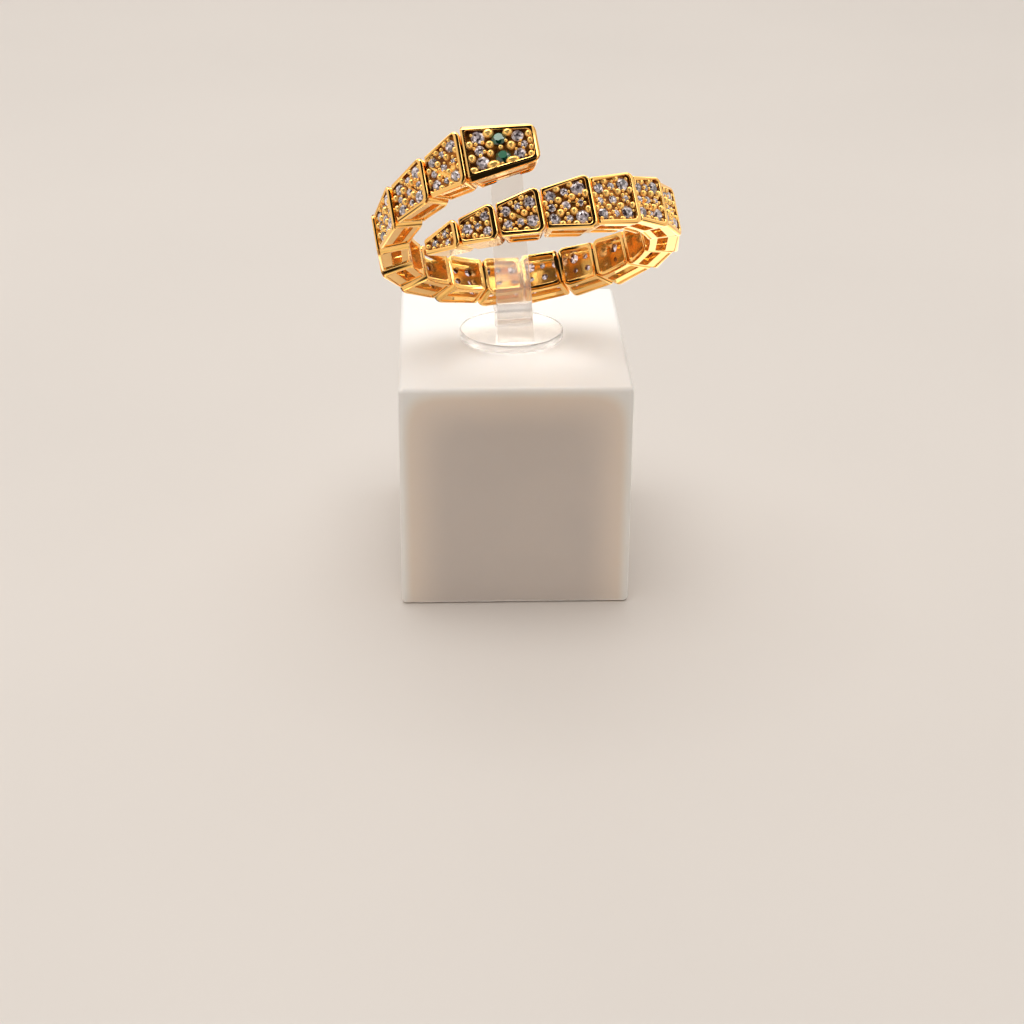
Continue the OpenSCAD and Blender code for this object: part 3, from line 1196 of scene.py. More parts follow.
GOLDS = (
    GoldFinish("polished_gold", (1.0, 0.61, 0.2), (0.99, 0.57, 0.17), (0.05, 0.1), 2.2, 0.02),
    # The hollow's gold is a partly diffuse copy of the polished gold, which the lamps light up, as painted
    # light inside the link.
    GoldFinish("lit_hollow_gold", (1.0, 0.63, 0.18), (1.0, 0.54, 0.12), (0.1, 0.2), 0.8, 0.015, metal=0.78),
    # The floor between the stones is painted dark brown, as painted shade in the sunk field.
    GoldFinish(
        "shaded_field_gold", (0.5, 0.19, 0.03), (0.13, 0.04, 0.008), (0.14, 0.28), 0.3, 0.02,
        metal=0.78, drift_mm=0.45,
    ),
    # The beads' gold is a partly diffuse copy with a glow, as painted light.
    GoldFinish(
        "glowing_bead_gold", (1.0, 0.64, 0.2), (1.0, 0.55, 0.14), (0.12, 0.22), 0.4, 0.012, metal=0.74, glow=0.14
    ),
)
# Bright and dark are the two ends of the facets' painted reflections.
CLEAR = StoneFinish("clear_stone", (0.83, 0.74, 0.76), (0.035, 0.024, 0.026), 2.3, 0.25)
GREEN = StoneFinish("green_stone", (0.03, 0.25, 0.12), (0.0, 0.03, 0.015), 1.85, 0.2, spark=0.0)


@dataclass
class BandLink:
    """One hollow link of the band, from its blank to its beads.

    Its own axes run along the band, across it and outwards.
    """

    index: int
    plan: BandPlan = PLAN
    # Roundings of the edges.
    rim_round: float = 0.18
    corner_round: float = 0.62
    tip_corner_round: float = 0.3
    edge_round: float = 0.045
    edge_deg: float = 40.0
    # The field's lip: its rounding, its steps in degrees and its rise over the plate.
    mouth_round: float = 0.09
    mouth_degs: tuple[int, ...] = (20, 40, 60, 80)
    mouth_rise: float = 0.05
    field_round: float = 0.35
    # The raw stock's spare length inwards and outwards, and how near its corners may lie.
    stock_below: float = 1.5
    stock_above: float = 1.0
    stock_near: float = 0.02
    # The windows and the panels round them.
    window_round: float = 0.22
    slot_round: float = 0.16
    slot_round_share: float = 0.45
    slot_in_deg: float = 0.3
    panel_low: float = 0.16
    panel_high: float = 0.42
    panel_depth: float = 0.1
    panel_rib_share: float = 0.8
    # The bore and the seats. Their cutters overlap, and the drilled holes run on behind the floor.
    bore_sides: int = 180
    seat_sides: int = 20
    seat_overlap: float = 0.02
    slack: float = 0.3
    # The beads. Pairs are the ends of a chance value, and a bead is at a rim past rim_u or rim_v.
    bead_seed: int = 40
    bead_growth: float = 1.45
    bead_sizes: Point = (0.9, 1.06)
    bead_long: Point = (0.95, 1.1)
    bead_wide: Point = (0.92, 1.05)
    bead_stretch: float = 1.3
    rim_wide: Point = (1.0, 1.15)
    rim_v: float = 0.4
    rim_u: float = 0.44
    bead_mesh: tuple[int, int] = (16, 10)
    # The grains round each stone: sizes, chance turn, lift and distance from stone, rim, bead and stones.
    grains: int = 5
    grain_low: float = 0.1
    grain_high: float = 0.15
    grain_turn: float = 0.25
    grain_lift: float = 0.02
    grain_out: Point = (1.04, 0.5)
    grain_from_rim: float = 0.2
    grain_from_bead: Point = (0.72, 0.01)
    grain_from_stone: float = 0.3
    grain_mesh: tuple[int, int] = (12, 8)
    # Where a face counts as a bead's skin or the hollow, both painted light, or as the field, painted shade.
    skin: Point = (0.85, 1.06)
    skin_box: float = 1.1
    field_z: Point = (0.05, -0.09)
    field_deep: float = 0.1
    hollow_deep: float = 0.16
    hollow_out: float = 0.06

    def __post_init__(self) -> None:
        """Works out the link's flat faces."""
        plan, i = self.plan, self.index
        self.plate = plan.plate_frame(i)
        self.half = plan.half_deg(i)
        self.top = Cut(self.plate @ Vector((0, 0, 0)), self._plate_way((0, 0, 1)))
        self.ends = [self._end_cut(side, self.half) for side in (-1, 1)]
        self.sides = [self._side_cut(side) for side in (-1, 1)]
        self.beads_made = self.bead_shapes()

    @property
    def name(self) -> str:
        """Name of the dressed piece."""
        return f"dressed_link_{self.index + 1:02d}"

    @property
    def node(self) -> str:
        """Name of the node that the piece stands for."""
        return f"link_{self.index + 1:02d}"

    @property
    def corner_rounds(self) -> tuple[float, float]:
        """Rounding of the upright corners at the narrow and the wide end."""
        return (self.tip_corner_round if self.index == 0 else 0.0), self.corner_round

    @property
    def slot_height(self) -> float:
        """Height of the side windows."""
        return self.plan.slot_h

    def _plate_way(self, way: Sequence[float]) -> Vector:
        """Turns a direction on the plate into the link's axes."""
        return (self.plate.to_3x3() @ Vector(way)).normalized()

    def _end_cut(self, side: int, half: float) -> Cut:
        """Flat end of a wedge, in a plane through the ring's axis."""
        a = math.radians(half)
        return Cut(Vector((0, 0, 0)), Vector((side * math.cos(a), 0, -math.sin(a))))

    def _edge_line(self, side: int, in0: float = 0, in1: float = 0) -> tuple[Vector, Vector]:
        """Finds the line beside one long edge of the plate.

        Args:
            side: 1 for the upper edge, -1 for the lower.
            in0: Distance from the edge at the narrow end.
            in1: Distance from the edge at the wide end.

        Returns:
            The line's ends, in the plate's axes.
        """
        c = self.plan.corners(self.index, in0, in1)
        a, b = (c[3], c[2]) if side > 0 else (c[0], c[1])
        return Vector((*a, 0)), Vector((*b, 0))

    def _side_cut(self, side: int, in0: float = 0, in1: float = 0, drop: float | None = None) -> Cut:
        """Cut along a long edge of the plate.

        Args:
            side: 1 for the upper edge, -1 for the lower.
            in0: Distance from the edge at the narrow end.
            in1: Distance from the edge at the wide end.
            drop: Fall of the cut for each mm outwards, or None for the lean of the sides.

        Returns:
            The cut, in the link's axes.
        """
        a, b = self._edge_line(side, in0, in1)
        out = self._out(side, a, b)
        if drop is None:
            way = out + Vector((0, 0, -self.plan.side_taper / self.plan.band_t))
        else:
            way = out * drop + Vector((0, 0, 1))
        return Cut(self.plate @ a, self._plate_way(way))

    @staticmethod
    def _out(side: int, a: Vector, b: Vector) -> Vector:
        """Direction away from the plate, square to the line from a to b."""
        along = (b - a).normalized()
        return Vector((-along.y, along.x, 0)) * side

    def _inset(self, cut: Cut) -> Cut:
        """Moves a cut inwards by the rounding of the rims."""
        return Cut(cut.at - cut.normal * self.rim_round, cut.normal)

    def blank(self) -> BMesh:
        """Saws the core of the link's blank and rounds it all over.

        Returns:
            The blank, solid and without windows.
        """
        reach = self.plan.ring_r
        bm = Shaping.box(
            (-reach / 2, -reach, self.plan.finger_r - self.stock_below),
            (reach / 2, reach, reach + self.stock_above),
        )
        ends, sides = [self._inset(c) for c in self.ends], [self._inset(c) for c in self.sides]
        Shaping.trim(bm, [self._inset(self.top), *ends, *sides])
        for end, radius in zip(ends, self.corner_rounds):
            if radius > self.rim_round:
                Shaping.round_edges(bm, Shaping.shared_edges(bm, [end], sides), radius - self.rim_round, 4)
        Shaping.trim(bm, [self._inset(c) for c in self.slopes()])
        Shaping.weld(bm, self.stock_near)
        return Shaping.rolled(bm, self.rim_round, [c.normal for c in self.outer_faces()])

    def outer_faces(self) -> list[Cut]:
        """Every outer face of the link."""
        return [self.top, *self.ends, *self.sides, *self.slopes()]

    def slopes(self) -> list[Cut]:
        """Further sloped faces beside the plate, of which a plain link has none."""
        return []

    def finger_bore(self) -> BMesh:
        """Cutter for the finger's hole."""
        return Shaping.disc(self.plan.finger_r, self.plan.ring_r * 2, self.bore_sides, turn(x=90))

    def inner_window(self) -> BMesh:
        """Makes the cutter for the hollow behind the plate.

        Returns:
            The cutter, in the link's axes.
        """
        plan = self.plan
        back = plan.field_depth + plan.floor_t
        inset = plan.wall_t + plan.side_taper
        low, high = 0.5 * plan.finger_r, plan.ring_r
        bm = Shaping.box((-high, -high, low), (high, high, high))
        lid = Cut(self.top.at - self.top.normal * back, self.top.normal)
        ends = [self._end_cut(side, self.half - plan.rib_deg) for side in (-1, 1)]
        lines = {side: self._edge_line(side, inset, inset) for side in (-1, 1)}
        sides = [Cut(self.plate @ a, self._out(side, a, b)) for side, (a, b) in lines.items()]
        Shaping.trim(bm, [lid, *ends, *sides])
        Shaping.round_edges(bm, Shaping.shared_edges(bm, ends, sides), self.window_round, 3)
        return bm

    def _side_prism(self, low: float, high: float, half_deg: float, rounding: float) -> BMesh:
        """Makes a wedge-shaped prism that runs across the whole link.

        Args:
            low: Its inner radius.
            high: Its outer radius.
            half_deg: Half of its angle.
            rounding: Rounding of its corners.

        Returns:
            The prism, in the link's axes.
        """
        a = math.radians(half_deg)
        ends = ((low, -1), (low, 1), (high, 1), (high, -1))
        corners = [(r * math.sin(s * a), r * math.cos(s * a)) for r, s in ends]
        reach = self.plan.ring_r
        return Shaping.prism(rounded_outline(corners, [rounding] * 4, 4), -reach, reach, turn(x=90))

    def side_windows(self) -> BMesh:
        """Makes the cutter for the windows in both sides.

        Returns:
            The cutter, in the link's axes.
        """
        low = self.plan.finger_r + self.plan.rail_h
        rounding = min(self.slot_round, self.slot_height * self.slot_round_share)
        half_deg = self.half - self.plan.rib_deg - self.slot_in_deg
        return self._side_prism(low, low + self.slot_height, half_deg, rounding)

    def side_panels(self) -> list[BMesh]:
        """Makes the cutters for the shallow panel sunk into each side, round its window.

        Returns:
            One cutter for each side, in the link's axes.
        """
        plan, made = self.plan, []
        low, high = plan.finger_r + self.panel_low, plan.ring_r - self.panel_high
        half_deg = self.half - plan.rib_deg * self.panel_rib_share
        for cut in self.sides:
            bm = self._side_prism(low, high, half_deg, self.window_round)
            Shaping.trim(bm, [Cut(cut.at - cut.normal * self.panel_depth, -cut.normal)])
            made.append(bm)
        return made

    def sunk_field(self) -> BMesh:
        """Makes the cutter for the sunk stone field, which opens with a rounded lip.

        Returns:
            The cutter, in the link's axes.
        """
        outline = rounded_outline(self.plan.field(self.index), [self.field_round] * 4, 6)
        r, rise = self.mouth_round, self.mouth_rise
        rows = [(-self.plan.field_depth, 0.0), (-r, 0.0)]
        for degrees in self.mouth_degs:
            a = math.radians(degrees)
            rows.append((r * (math.sin(a) - 1), r * (1 - math.cos(a))))
        steep = math.tan(math.radians(self.mouth_degs[-1]))
        rows.append((rise, rows[-1][1] + (rise - rows[-1][0]) * steep))
        rows.append((1.0, rows[-1][1]))
        return Shaping.stack(outline, rows, self.plate)

    def stone_spots(self) -> tuple[Spot, ...]:
        """Every stone that is seated in this link."""
        return STONES[self.plan.pattern(self.index)]

    def seats(self) -> list[BMesh]:
        """Makes the cutters for the stones' seats and the drilled holes under them.

        Returns:
            The seats in one mesh and the holes in another, in the link's axes.
        """
        plan, parts = self.plan, []
        turns = [k * math.tau / self.seat_sides for k in range(self.seat_sides)]
        for spot in self.stone_spots():
            at = plan.place(self.index, spot)
            radius = spot.d * plan.fit(self.index) / 2 - plan.seat_gap
            deep = plan.field_depth + plan.seat_depth
            under = -plan.field_depth - plan.floor_t - self.slack
            for r, low, high in (
                (radius, -deep, -plan.field_depth + self.seat_overlap),
                (radius * plan.drill_share, under, -deep + self.seat_overlap),
            ):
                circle = [(at.x + r * math.cos(a), at.y + r * math.sin(a)) for a in turns]
                parts.append(Shaping.prism(circle, low, high, self.plate))
        return [Shaping.joined(parts[0::2]), Shaping.joined(parts[1::2])]

    def bead_shapes(self) -> list[tuple[Vector, Vector]]:
        """Finds the middles and half sizes of the beads.

        Returns:
            One pair for each bead, in the plate's axes. Those along the rim are drawn out beside it.
        """
        plan, made = self.plan, []
        draw = random.Random(self.index + self.bead_seed)
        for spot in BEADS[plan.pattern(self.index)]:
            at = plan.place(self.index, spot)
            r = spot.d * plan.fit(self.index) / 2 * self.bead_growth * draw.uniform(*self.bead_sizes)
            rim_long = (self.bead_long[1], self.bead_stretch)
            long_u = draw.uniform(*(rim_long if abs(spot.v) > self.rim_v else self.bead_long))
            long_v = draw.uniform(*(self.rim_wide if abs(spot.u) > self.rim_u else self.bead_wide))
            middle = Vector((at.x, at.y, plan.bead_lift - plan.field_depth))
            made.append((middle, Vector((r * long_u, r * long_v, r))))
        self._add_grains(made, draw)
        return made

    def _add_grains(self, made: list[tuple[Vector, Vector]], draw: random.Random) -> None:
        """Sets small grains of metal round each stone, where there is room for them.

        Args:
            made: The beads so far, to which the grains are added.
            draw: Source of the grains' chance places.
        """
        plan = self.plan
        stones = [(plan.place(self.index, s).xy, s.d * plan.fit(self.index) / 2) for s in self.stone_spots()]
        corners = [Vector(p) for p in plan.field(self.index)]
        share, gap = self.grain_from_bead
        for at, radius in stones:
            first = draw.uniform(0, math.tau)
            for k in range(self.grains):
                a = first + (k + draw.uniform(-self.grain_turn, self.grain_turn)) * math.tau / self.grains
                r = draw.uniform(self.grain_low, self.grain_high)
                away = radius * self.grain_out[0] + r * self.grain_out[1]
                p = at + Vector((math.cos(a), math.sin(a))) * away
                inside = all(
                    (end - start).normalized().cross(p - start) > r * self.grain_from_rim
                    for start, end in zip(corners, [*corners[1:], corners[0]])
                )
                apart = all((p - bead.xy).length > half.xy.length * share + r + gap for bead, half in made)
                clear = all((p - other).length > size + r * self.grain_from_stone for other, size in stones)
                if inside and apart and clear:
                    z = plan.bead_lift + self.grain_lift - plan.field_depth
                    made.append((Vector((p.x, p.y, z)), Vector((r, r, r))))

    def beads(self) -> BMesh:
        """Raises the beads between the stones.

        Returns:
            The beads in one mesh, in the link's axes.
        """
        parts = []
        for middle, half in self.beads_made:
            bm = bmesh.new()
            round_u, round_v = self.bead_mesh if half.x > self.grain_high else self.grain_mesh
            bmesh.ops.create_uvsphere(bm, u_segments=round_u, v_segments=round_v, radius=1.0)
            bm.transform(self.plate @ Matrix.Translation(middle) @ Matrix.Diagonal((*half, 1.0)))
            parts.append(bm)
        return Shaping.joined(parts)

    def carve(self) -> Object:
        """Carves the whole link.

        Returns:
            The link in its own axes, in mm.
        """
        work = Carving(self.blank(), self.name)
        work.cut(self.finger_bore())
        if self.index >= self.plan.closed_links:
            for panel in self.side_panels():
                work.cut(panel)
            work.cut(self.inner_window())
            work.cut(self.side_windows())
        work.cut(self.sunk_field())
        work.facet()
        work.soften(self.edge_round, 2, self.edge_deg, self.outer_faces())
        for seat in self.seats():
            work.cut(seat)
        work.add(self.beads())
        return work.finish()

    def _metal_of(self, at: Vector) -> Metal:
        """Tells which finish the surface at a point of the link wears, and so where painted light or shade
        goes.

        Args:
            at: The middle of a face, in the link's axes.

        Returns:
            The finish.
        """
        plan = self.plan
        p = self.plate.inverted() @ at
        for middle, half in self.beads_made:
            away = p - middle
            if abs(away.x) > half.x * self.skin_box or abs(away.y) > half.y * self.skin_box:
                continue
            reach = Vector((away.x / half.x, away.y / half.y, away.z / half.z)).length
            # Bead skins wear the glowing gold, as painted light.
            if self.skin[0] < reach < self.skin[1]:
                return Metal.GLOWING_BEAD
        depth = min(cut.depth(at) for cut in (self.top, *self.sides, *self.ends))
        back = plan.field_depth + plan.floor_t
        # The sunk field wears the dark gold, as painted shade.
        if self.field_z[0] - back < p.z < self.field_z[1] and depth > self.field_deep:
            return Metal.FIELD
        # The hollow behind the plate wears the lighter gold, as painted light.
        if depth > self.hollow_deep and Vector((at.x, 0, at.z)).length > plan.finger_r + self.hollow_out:
            return Metal.LIT_HOLLOW
        return Metal.POLISHED

    def build(self, golds: Sequence[Material]) -> Object:
        """Carves, dresses and places the link.

        Args:
            golds: The gold materials, in the order of GOLDS.

        Returns:
            The finished piece.
        """
        piece = self.carve()
        for face in piece.data.polygons:
            face.material_index = self._metal_of(face.center).value
        return dress(piece, golds, self.plan.ring_frame(self.index), "polished_gold", self.node)


@dataclass
class SnakeHead(BandLink):
    """The head: a long link with a blunt, rounded tip and sloped long edges."""

    index: int = PLAN.head
    mouth_round: float = 0.08
    corner_round: float = 0.6
    bead_stretch: float = 1.7
    tip_slope_l: float = 0.4
    tip_slope_deg: float = 32.0
    neck_slope_l: float = 0.32
    neck_slope_deg: float = 24.0

    @property
    def name(self) -> str:
        """Name of the dressed piece."""
        return "dressed_head"

    @property
    def node(self) -> str:
        """Name of the node that the piece stands for."""
        return "head"

    @property
    def slot_height(self) -> float:
        """Height of the slit in each side."""
        return self.plan.head_slot_h

    def stone_spots(self) -> tuple[Spot, ...]:
        """The head's clear stones and its eyes."""
        return (*STONES[StonePattern.HEAD], *EYES)

    def slopes(self) -> list[Cut]:
        """Slopes along the long edges, round the tip and at the neck.

        Returns:
            The cuts, in the head's axes.
        """
        plan = self.plan
        drop = math.tan(math.radians(plan.head_slope_deg))
        made = [
            self._side_cut(side, width, plan.tip_slope_w, drop)
            for side, width in ((-1, plan.low_slope_w), (1, plan.high_slope_w))
        ]
        half = plan.half_l(self.index)
        for side, length, degrees in (
            (1, self.tip_slope_l, self.tip_slope_deg),
            (-1, self.neck_slope_l, self.neck_slope_deg),
        ):
            fall = math.radians(degrees)
            at = self.plate @ Vector((side * (half - length), 0, 0))
            made.append(Cut(at, self._plate_way((side * math.sin(fall), 0, math.cos(fall)))))
        return made


@dataclass
class BrilliantCut:
    """The facets of a round stone, worked out for a girdle of radius 1."""

    crown: float = 0.36
    pavilion: float = 0.84
    table: float = 0.58
    core: float = 0.26
    star: float = 0.82
    star_h: float = 0.5
    girdle: float = 0.03
    keel: float = 0.35
    keel_fall: float = 1.04

    def points(self) -> list[Vector]:
        """Places the corners of the facets.

        Returns:
            The table's core and edge, the star, the upper and lower girdle, the keel and the culet.
        """
        made = []
        rows = (
            (8, 0.0, self.core, self.crown),
            (8, 0.0, self.table, self.crown),
            (8, 0.5, self.star, self.crown * self.star_h),
            (16, 0.0, 1.0, self.girdle / 2),
            (16, 0.0, 1.0, -self.girdle / 2),
            (8, 0.5, self.keel, -self.pavilion * (1 - self.keel) * self.keel_fall),
        )
        for count, shift, r, z in rows:
            for k in range(count):
                a = (k + shift) * math.tau / count
                made.append(Vector((r * math.cos(a), r * math.sin(a), z)))
        made.append(Vector((0, 0, -self.pavilion)))
        return made

    def faces(self) -> list[tuple[int, ...]]:
        """Lists the facets.

        Returns:
            The corner numbers of each facet, in turning order as seen from outside.
        """
        core, table, star, upper, lower, keel, culet = 0, 8, 16, 24, 40, 56, 64
        made: list[tuple[int, ...]] = [tuple(range(8))]
        for k in range(8):
            n = (k + 1) % 8
            b = (k - 1) % 8
            g = 2 * k
            made.append((core + k, table + k, table + n, core + n))
            made.append((table + k, star + k, table + n))
            made.append((table + k, star + b, upper + g, star + k))
            made.append((star + k, upper + g, upper + g + 1))
            made.append((star + k, upper + g + 1, upper + (g + 2) % 16))
            made.append((keel + k, lower + g + 1, lower + g))
            made.append((keel + k, lower + (g + 2) % 16, lower + g + 1))
            made.append((culet, keel + b, lower + g, keel + k)[::-1])
        for k in range(16):
            n = (k + 1) % 16
            made.append((upper + k, lower + k, lower + n, upper + n))
        return made


@dataclass
class StoneTray:
    """A set of cut stones that become one piece."""

    name: str
    nodes: tuple[str, ...]
    slot: str
    finish: StoneFinish
    seed: int
    plan: BandPlan = PLAN
    cut: BrilliantCut = field(default_factory=BrilliantCut)
    growth: float = 1.15
    lean_deg: float = 0.0
    tilt_deg: float = 4.0
    # Painted reflections of the facets, drawn at random: crown facets from the first list, pavilion facets,
    # seen through the drilled holes, from the brighter second, most of them painted glints, and the table
    # from a fixed one if given.
    facet_lights: tuple[float, ...] = (0.0, 0.02, 0.1, 0.3, 0.45, 0.65, 1.0, 1.3)
    under_facet_lights: tuple[float, ...] = (0.3, 0.8, 1.25, 1.6, 1.9)
    table_facet_light: float | None = None

    def build(self, places: Sequence[tuple[int, Spot]]) -> Object:
        """Cuts and sets the stones.

        Args:
            places: The link and the spot of each stone.

        Returns:
            The finished piece.
        """
        draw = random.Random(self.seed)
        points, faces, facet_lights = [], [], []
        shape, facets = self.cut.points(), self.cut.faces()
        table_z = self.cut.crown * 0.99
        for i, spot in places:
            middle = (*self.plan.place(i, spot), self.plan.girdle_lift - self.plan.field_depth)
            tilt = turn(
                draw.uniform(-self.tilt_deg, self.tilt_deg) - self.lean_deg,
                draw.uniform(-self.tilt_deg, self.tilt_deg),
            )
            size = Matrix.Scale(spot.d * self.growth * self.plan.fit(i) / 2, 4)
            axes = (
                Matrix.Scale(MM, 4) @ self.plan.ring_frame(i) @ self.plan.plate_frame(i)
                @ Matrix.Translation(middle) @ tilt @ turn(z=draw.uniform(0, 360)) @ size
            )
            first = len(points)
            points += [axes @ p for p in shape]
            faces += [tuple(first + k for k in f) for f in facets]
            for facet in facets:
                # Pavilion facets take the brighter painted reflections and glints; the table can take a fixed
                # painted reflection.
                under = all(shape[k].z < 0 for k in facet)
                table = all(shape[k].z > table_z for k in facet)
                facet_light = draw.choice(self.under_facet_lights if under else self.facet_lights)
                facet_lights.append(self.table_facet_light if table and self.table_facet_light is not None else facet_light)
        mesh = bpy.data.meshes.new(self.name)
        mesh.from_pydata(points, [], faces)
        facet_light = mesh.attributes.new(PAINTED_FACET_LIGHT, "FLOAT", "FACE")
        facet_light.data.foreach_set("value", facet_lights)
        mesh.materials.append(self.finish.material())
        mesh.update()
        piece = add_object(self.name, mesh)
        fit_to_frame(piece, self.slot, *self.nodes)
        return piece


@dataclass
class RingClip:
    """The clear clip: a round foot and a strip that grips the far side of the band."""

    foot_r: float = 4.16
    foot_t: float = 0.7
    foot_round: float = 0.14
    foot_sides: int = 128
    floor: float = 18.4
    air: float = 0.01
    strip_w: float = 2.9
    strip_top_w: float = 2.45
    strip_top_round: float = 0.8
    strip_t: float = 0.9
    strip_rise: float = 7.3
    strip_at: Point = (0.25, -3.3)
    strip_turn: tuple[float, float, float] = (0.0, -3.0, 2.8)
    slant_deg: float = 38.8
    bend_h: float = 4.68
    jaw_h: float = 3.2
    jaw_front_l: float = 2.5
    jaw_floor_l: float = 3.0
    jaw_rear_l: float = 3.6
    edge_round: float = 0.07
    edge_deg: float = 40.0
    far: float = 20.0
    finish: ClearPlasticFinish = ClearPlasticFinish("clear_plastic")

    def profile(self) -> list[Point]:
        """Draws the side view of the strip, with its bends rounded.

        Returns:
            The outline's points in order.
        """
        t = self.strip_t
        a = math.radians(self.slant_deg)
        up, down = Vector((math.sin(a), math.cos(a))), Vector((math.cos(a), -math.sin(a)))
        shift = Vector((-t, t * math.tan(a / 2)))
        low = Vector((t / 2, self.bend_h))
        high = low + self.jaw_front_l * up
        crotch = Vector((t / 2, self.jaw_h))
        corner = crotch + self.jaw_floor_l * down
        rise = Vector((0, self.strip_rise))
        rows = (
            (Vector((-t / 2, -1)), 0.0),
            (Vector((t / 2, -1)), 0.0),
            (crotch - Vector((0, t / math.cos(a))), 0.5),
            (corner - t * up + t * down, 0.9),
            (corner + self.jaw_rear_l * up + t * down, 0.25),
            (corner + self.jaw_rear_l * up, 0.25),
            (corner, 0.25),
            (crotch, 0.2),
            (low, 0.35),
            (high, 0.6),
            (high + rise, 0.0),
            (high + shift + rise, 0.0),
            (high + shift, 0.8),
            (low + shift, 0.8),
        )
        return rounded_outline([(p.x, p.y) for p, _ in rows], [r for _, r in rows], 6)

    def build_strip(self, material: Material) -> Object:
        """Bends, tapers and places the strip.

        Args:
            material: The clear plastic.

        Returns:
            The finished strip.
        """
        lean = turn(*self.strip_turn)
        place = Matrix.Translation((*self.strip_at, self.floor + self.foot_t)) @ lean
        top = self.bend_h + self.jaw_front_l * math.cos(math.radians(self.slant_deg)) + self.strip_rise
        upright = Matrix(((0, 0, 1, 0), (1, 0, 0, 0), (0, 1, 0, 0), (0, 0, 0, 1)))
        work = Carving(Shaping.prism(self.profile(), -self.strip_w, self.strip_w, upright), "clear_strip")
        w0, w1 = self.strip_w / 2, self.strip_top_w / 2
        corners = [(-w0, -1), (w0, -1), (w1, top), (-w1, top)]
        front = rounded_outline(corners, [0, 0, *[w1 * self.strip_top_round] * 2], 8)
        work.keep(Shaping.prism(front, -self.far, self.far, turn(x=90)))
        floor = Shaping.box([-self.far] * 3, (self.far, self.far, 0))
        floor.transform(lean.inverted())
        work.cut(floor)
        work.soften(self.edge_round, 3, self.edge_deg, [])
        return dress(work.finish(), [material], place, "clear_plastic", "clip_strip")

    def build_foot(self, material: Material) -> Object:
        """Turns the round foot, with softened edges.

        Args:
            material: The clear plastic.

        Returns:
            The finished foot.
        """
        low, high = self.floor + self.air, self.floor + self.foot_t - self.air
        middle = Matrix.Translation((0, 0, (low + high) / 2))
        bm = Shaping.disc(self.foot_r, high - low, self.foot_sides, middle)
        rims = [e for e in bm.edges if e.calc_face_angle(0.0) > math.radians(self.edge_deg)]
        Shaping.round_edges(bm, rims, self.foot_round, 4)
        piece = Shaping.to_object(bm, "clear_foot")
        return dress(piece, [material], Matrix(), "clear_plastic", "clip_base")

    def build(self) -> list[Object]:
        """Makes the whole clip in clear plastic, which lets the lamps' light through.

        Returns:
            The strip and the foot.
        """
        material = self.finish.material()
        pieces = [self.build_strip(material), self.build_foot(material)]
        for piece in pieces:
            piece.visible_shadow = False
        return pieces


@dataclass
class DisplayBlock:
    """The white block that carries the clip."""

    width: float = 18.0
    depth: float = 22.4
    height: float = 18.4
    edge_r: float = 0.4
    finish: SatinPlasticFinish = SatinPlasticFinish("white_plastic")

    def build(self) -> Object:
        """Cuts the block, rounds all its edges and dresses it.

        Returns:
            The finished block.
        """
        x, y = self.width / 2, self.depth / 2
        bm = Shaping.box((-x, -y, 0), (x, y, self.height))
        Shaping.round_edges(bm, bm.edges[:], self.edge_r, 5)
        piece = Shaping.to_object(bm, "white_block")
        return dress(piece, [self.finish.material(x, y, self.height)], Matrix(), "white_plastic", "block")


@dataclass(frozen=True)
class SkyPatch:
    """A soft round patch of light or shade that the polished metal mirrors.

    Azimuth 0 is behind the ring, 90 to the viewer's right and 180 towards the viewer.
    """

    azimuth: float
    elevation: float
    half_angle: float
    soft: float
    level: float
    tint: Colour = (1.0, 0.97, 0.93)

    def direction(self) -> Vector:
        """Direction of the patch's middle."""
        a, e = math.radians(self.azimuth), math.radians(self.elevation)
        return Vector((math.sin(a) * math.cos(e), math.cos(a) * math.cos(e), math.sin(e)))


@dataclass(frozen=True)
class SoftLamp:
    """A round lamp that shines on one point over the floor. Sizes and places are in metres."""

    name: str
    at: tuple[float, float, float]
    size: float
    power: float
    aim: tuple[float, float, float] = (0.0, 0.0, 0.02)

    def hang(self) -> None:
        """Hangs the lamp, which metal doesn't mirror."""
        lamp = bpy.data.lights.new(self.name, "AREA")
        lamp.shape = "DISK"
        lamp.size = self.size
        lamp.energy = self.power
        obj = add_object(self.name, lamp)
        obj.location = self.at
        obj.rotation_euler = (Vector(self.aim) - Vector(self.at)).to_track_quat("-Z", "Y").to_euler()
        obj.visible_glossy = False


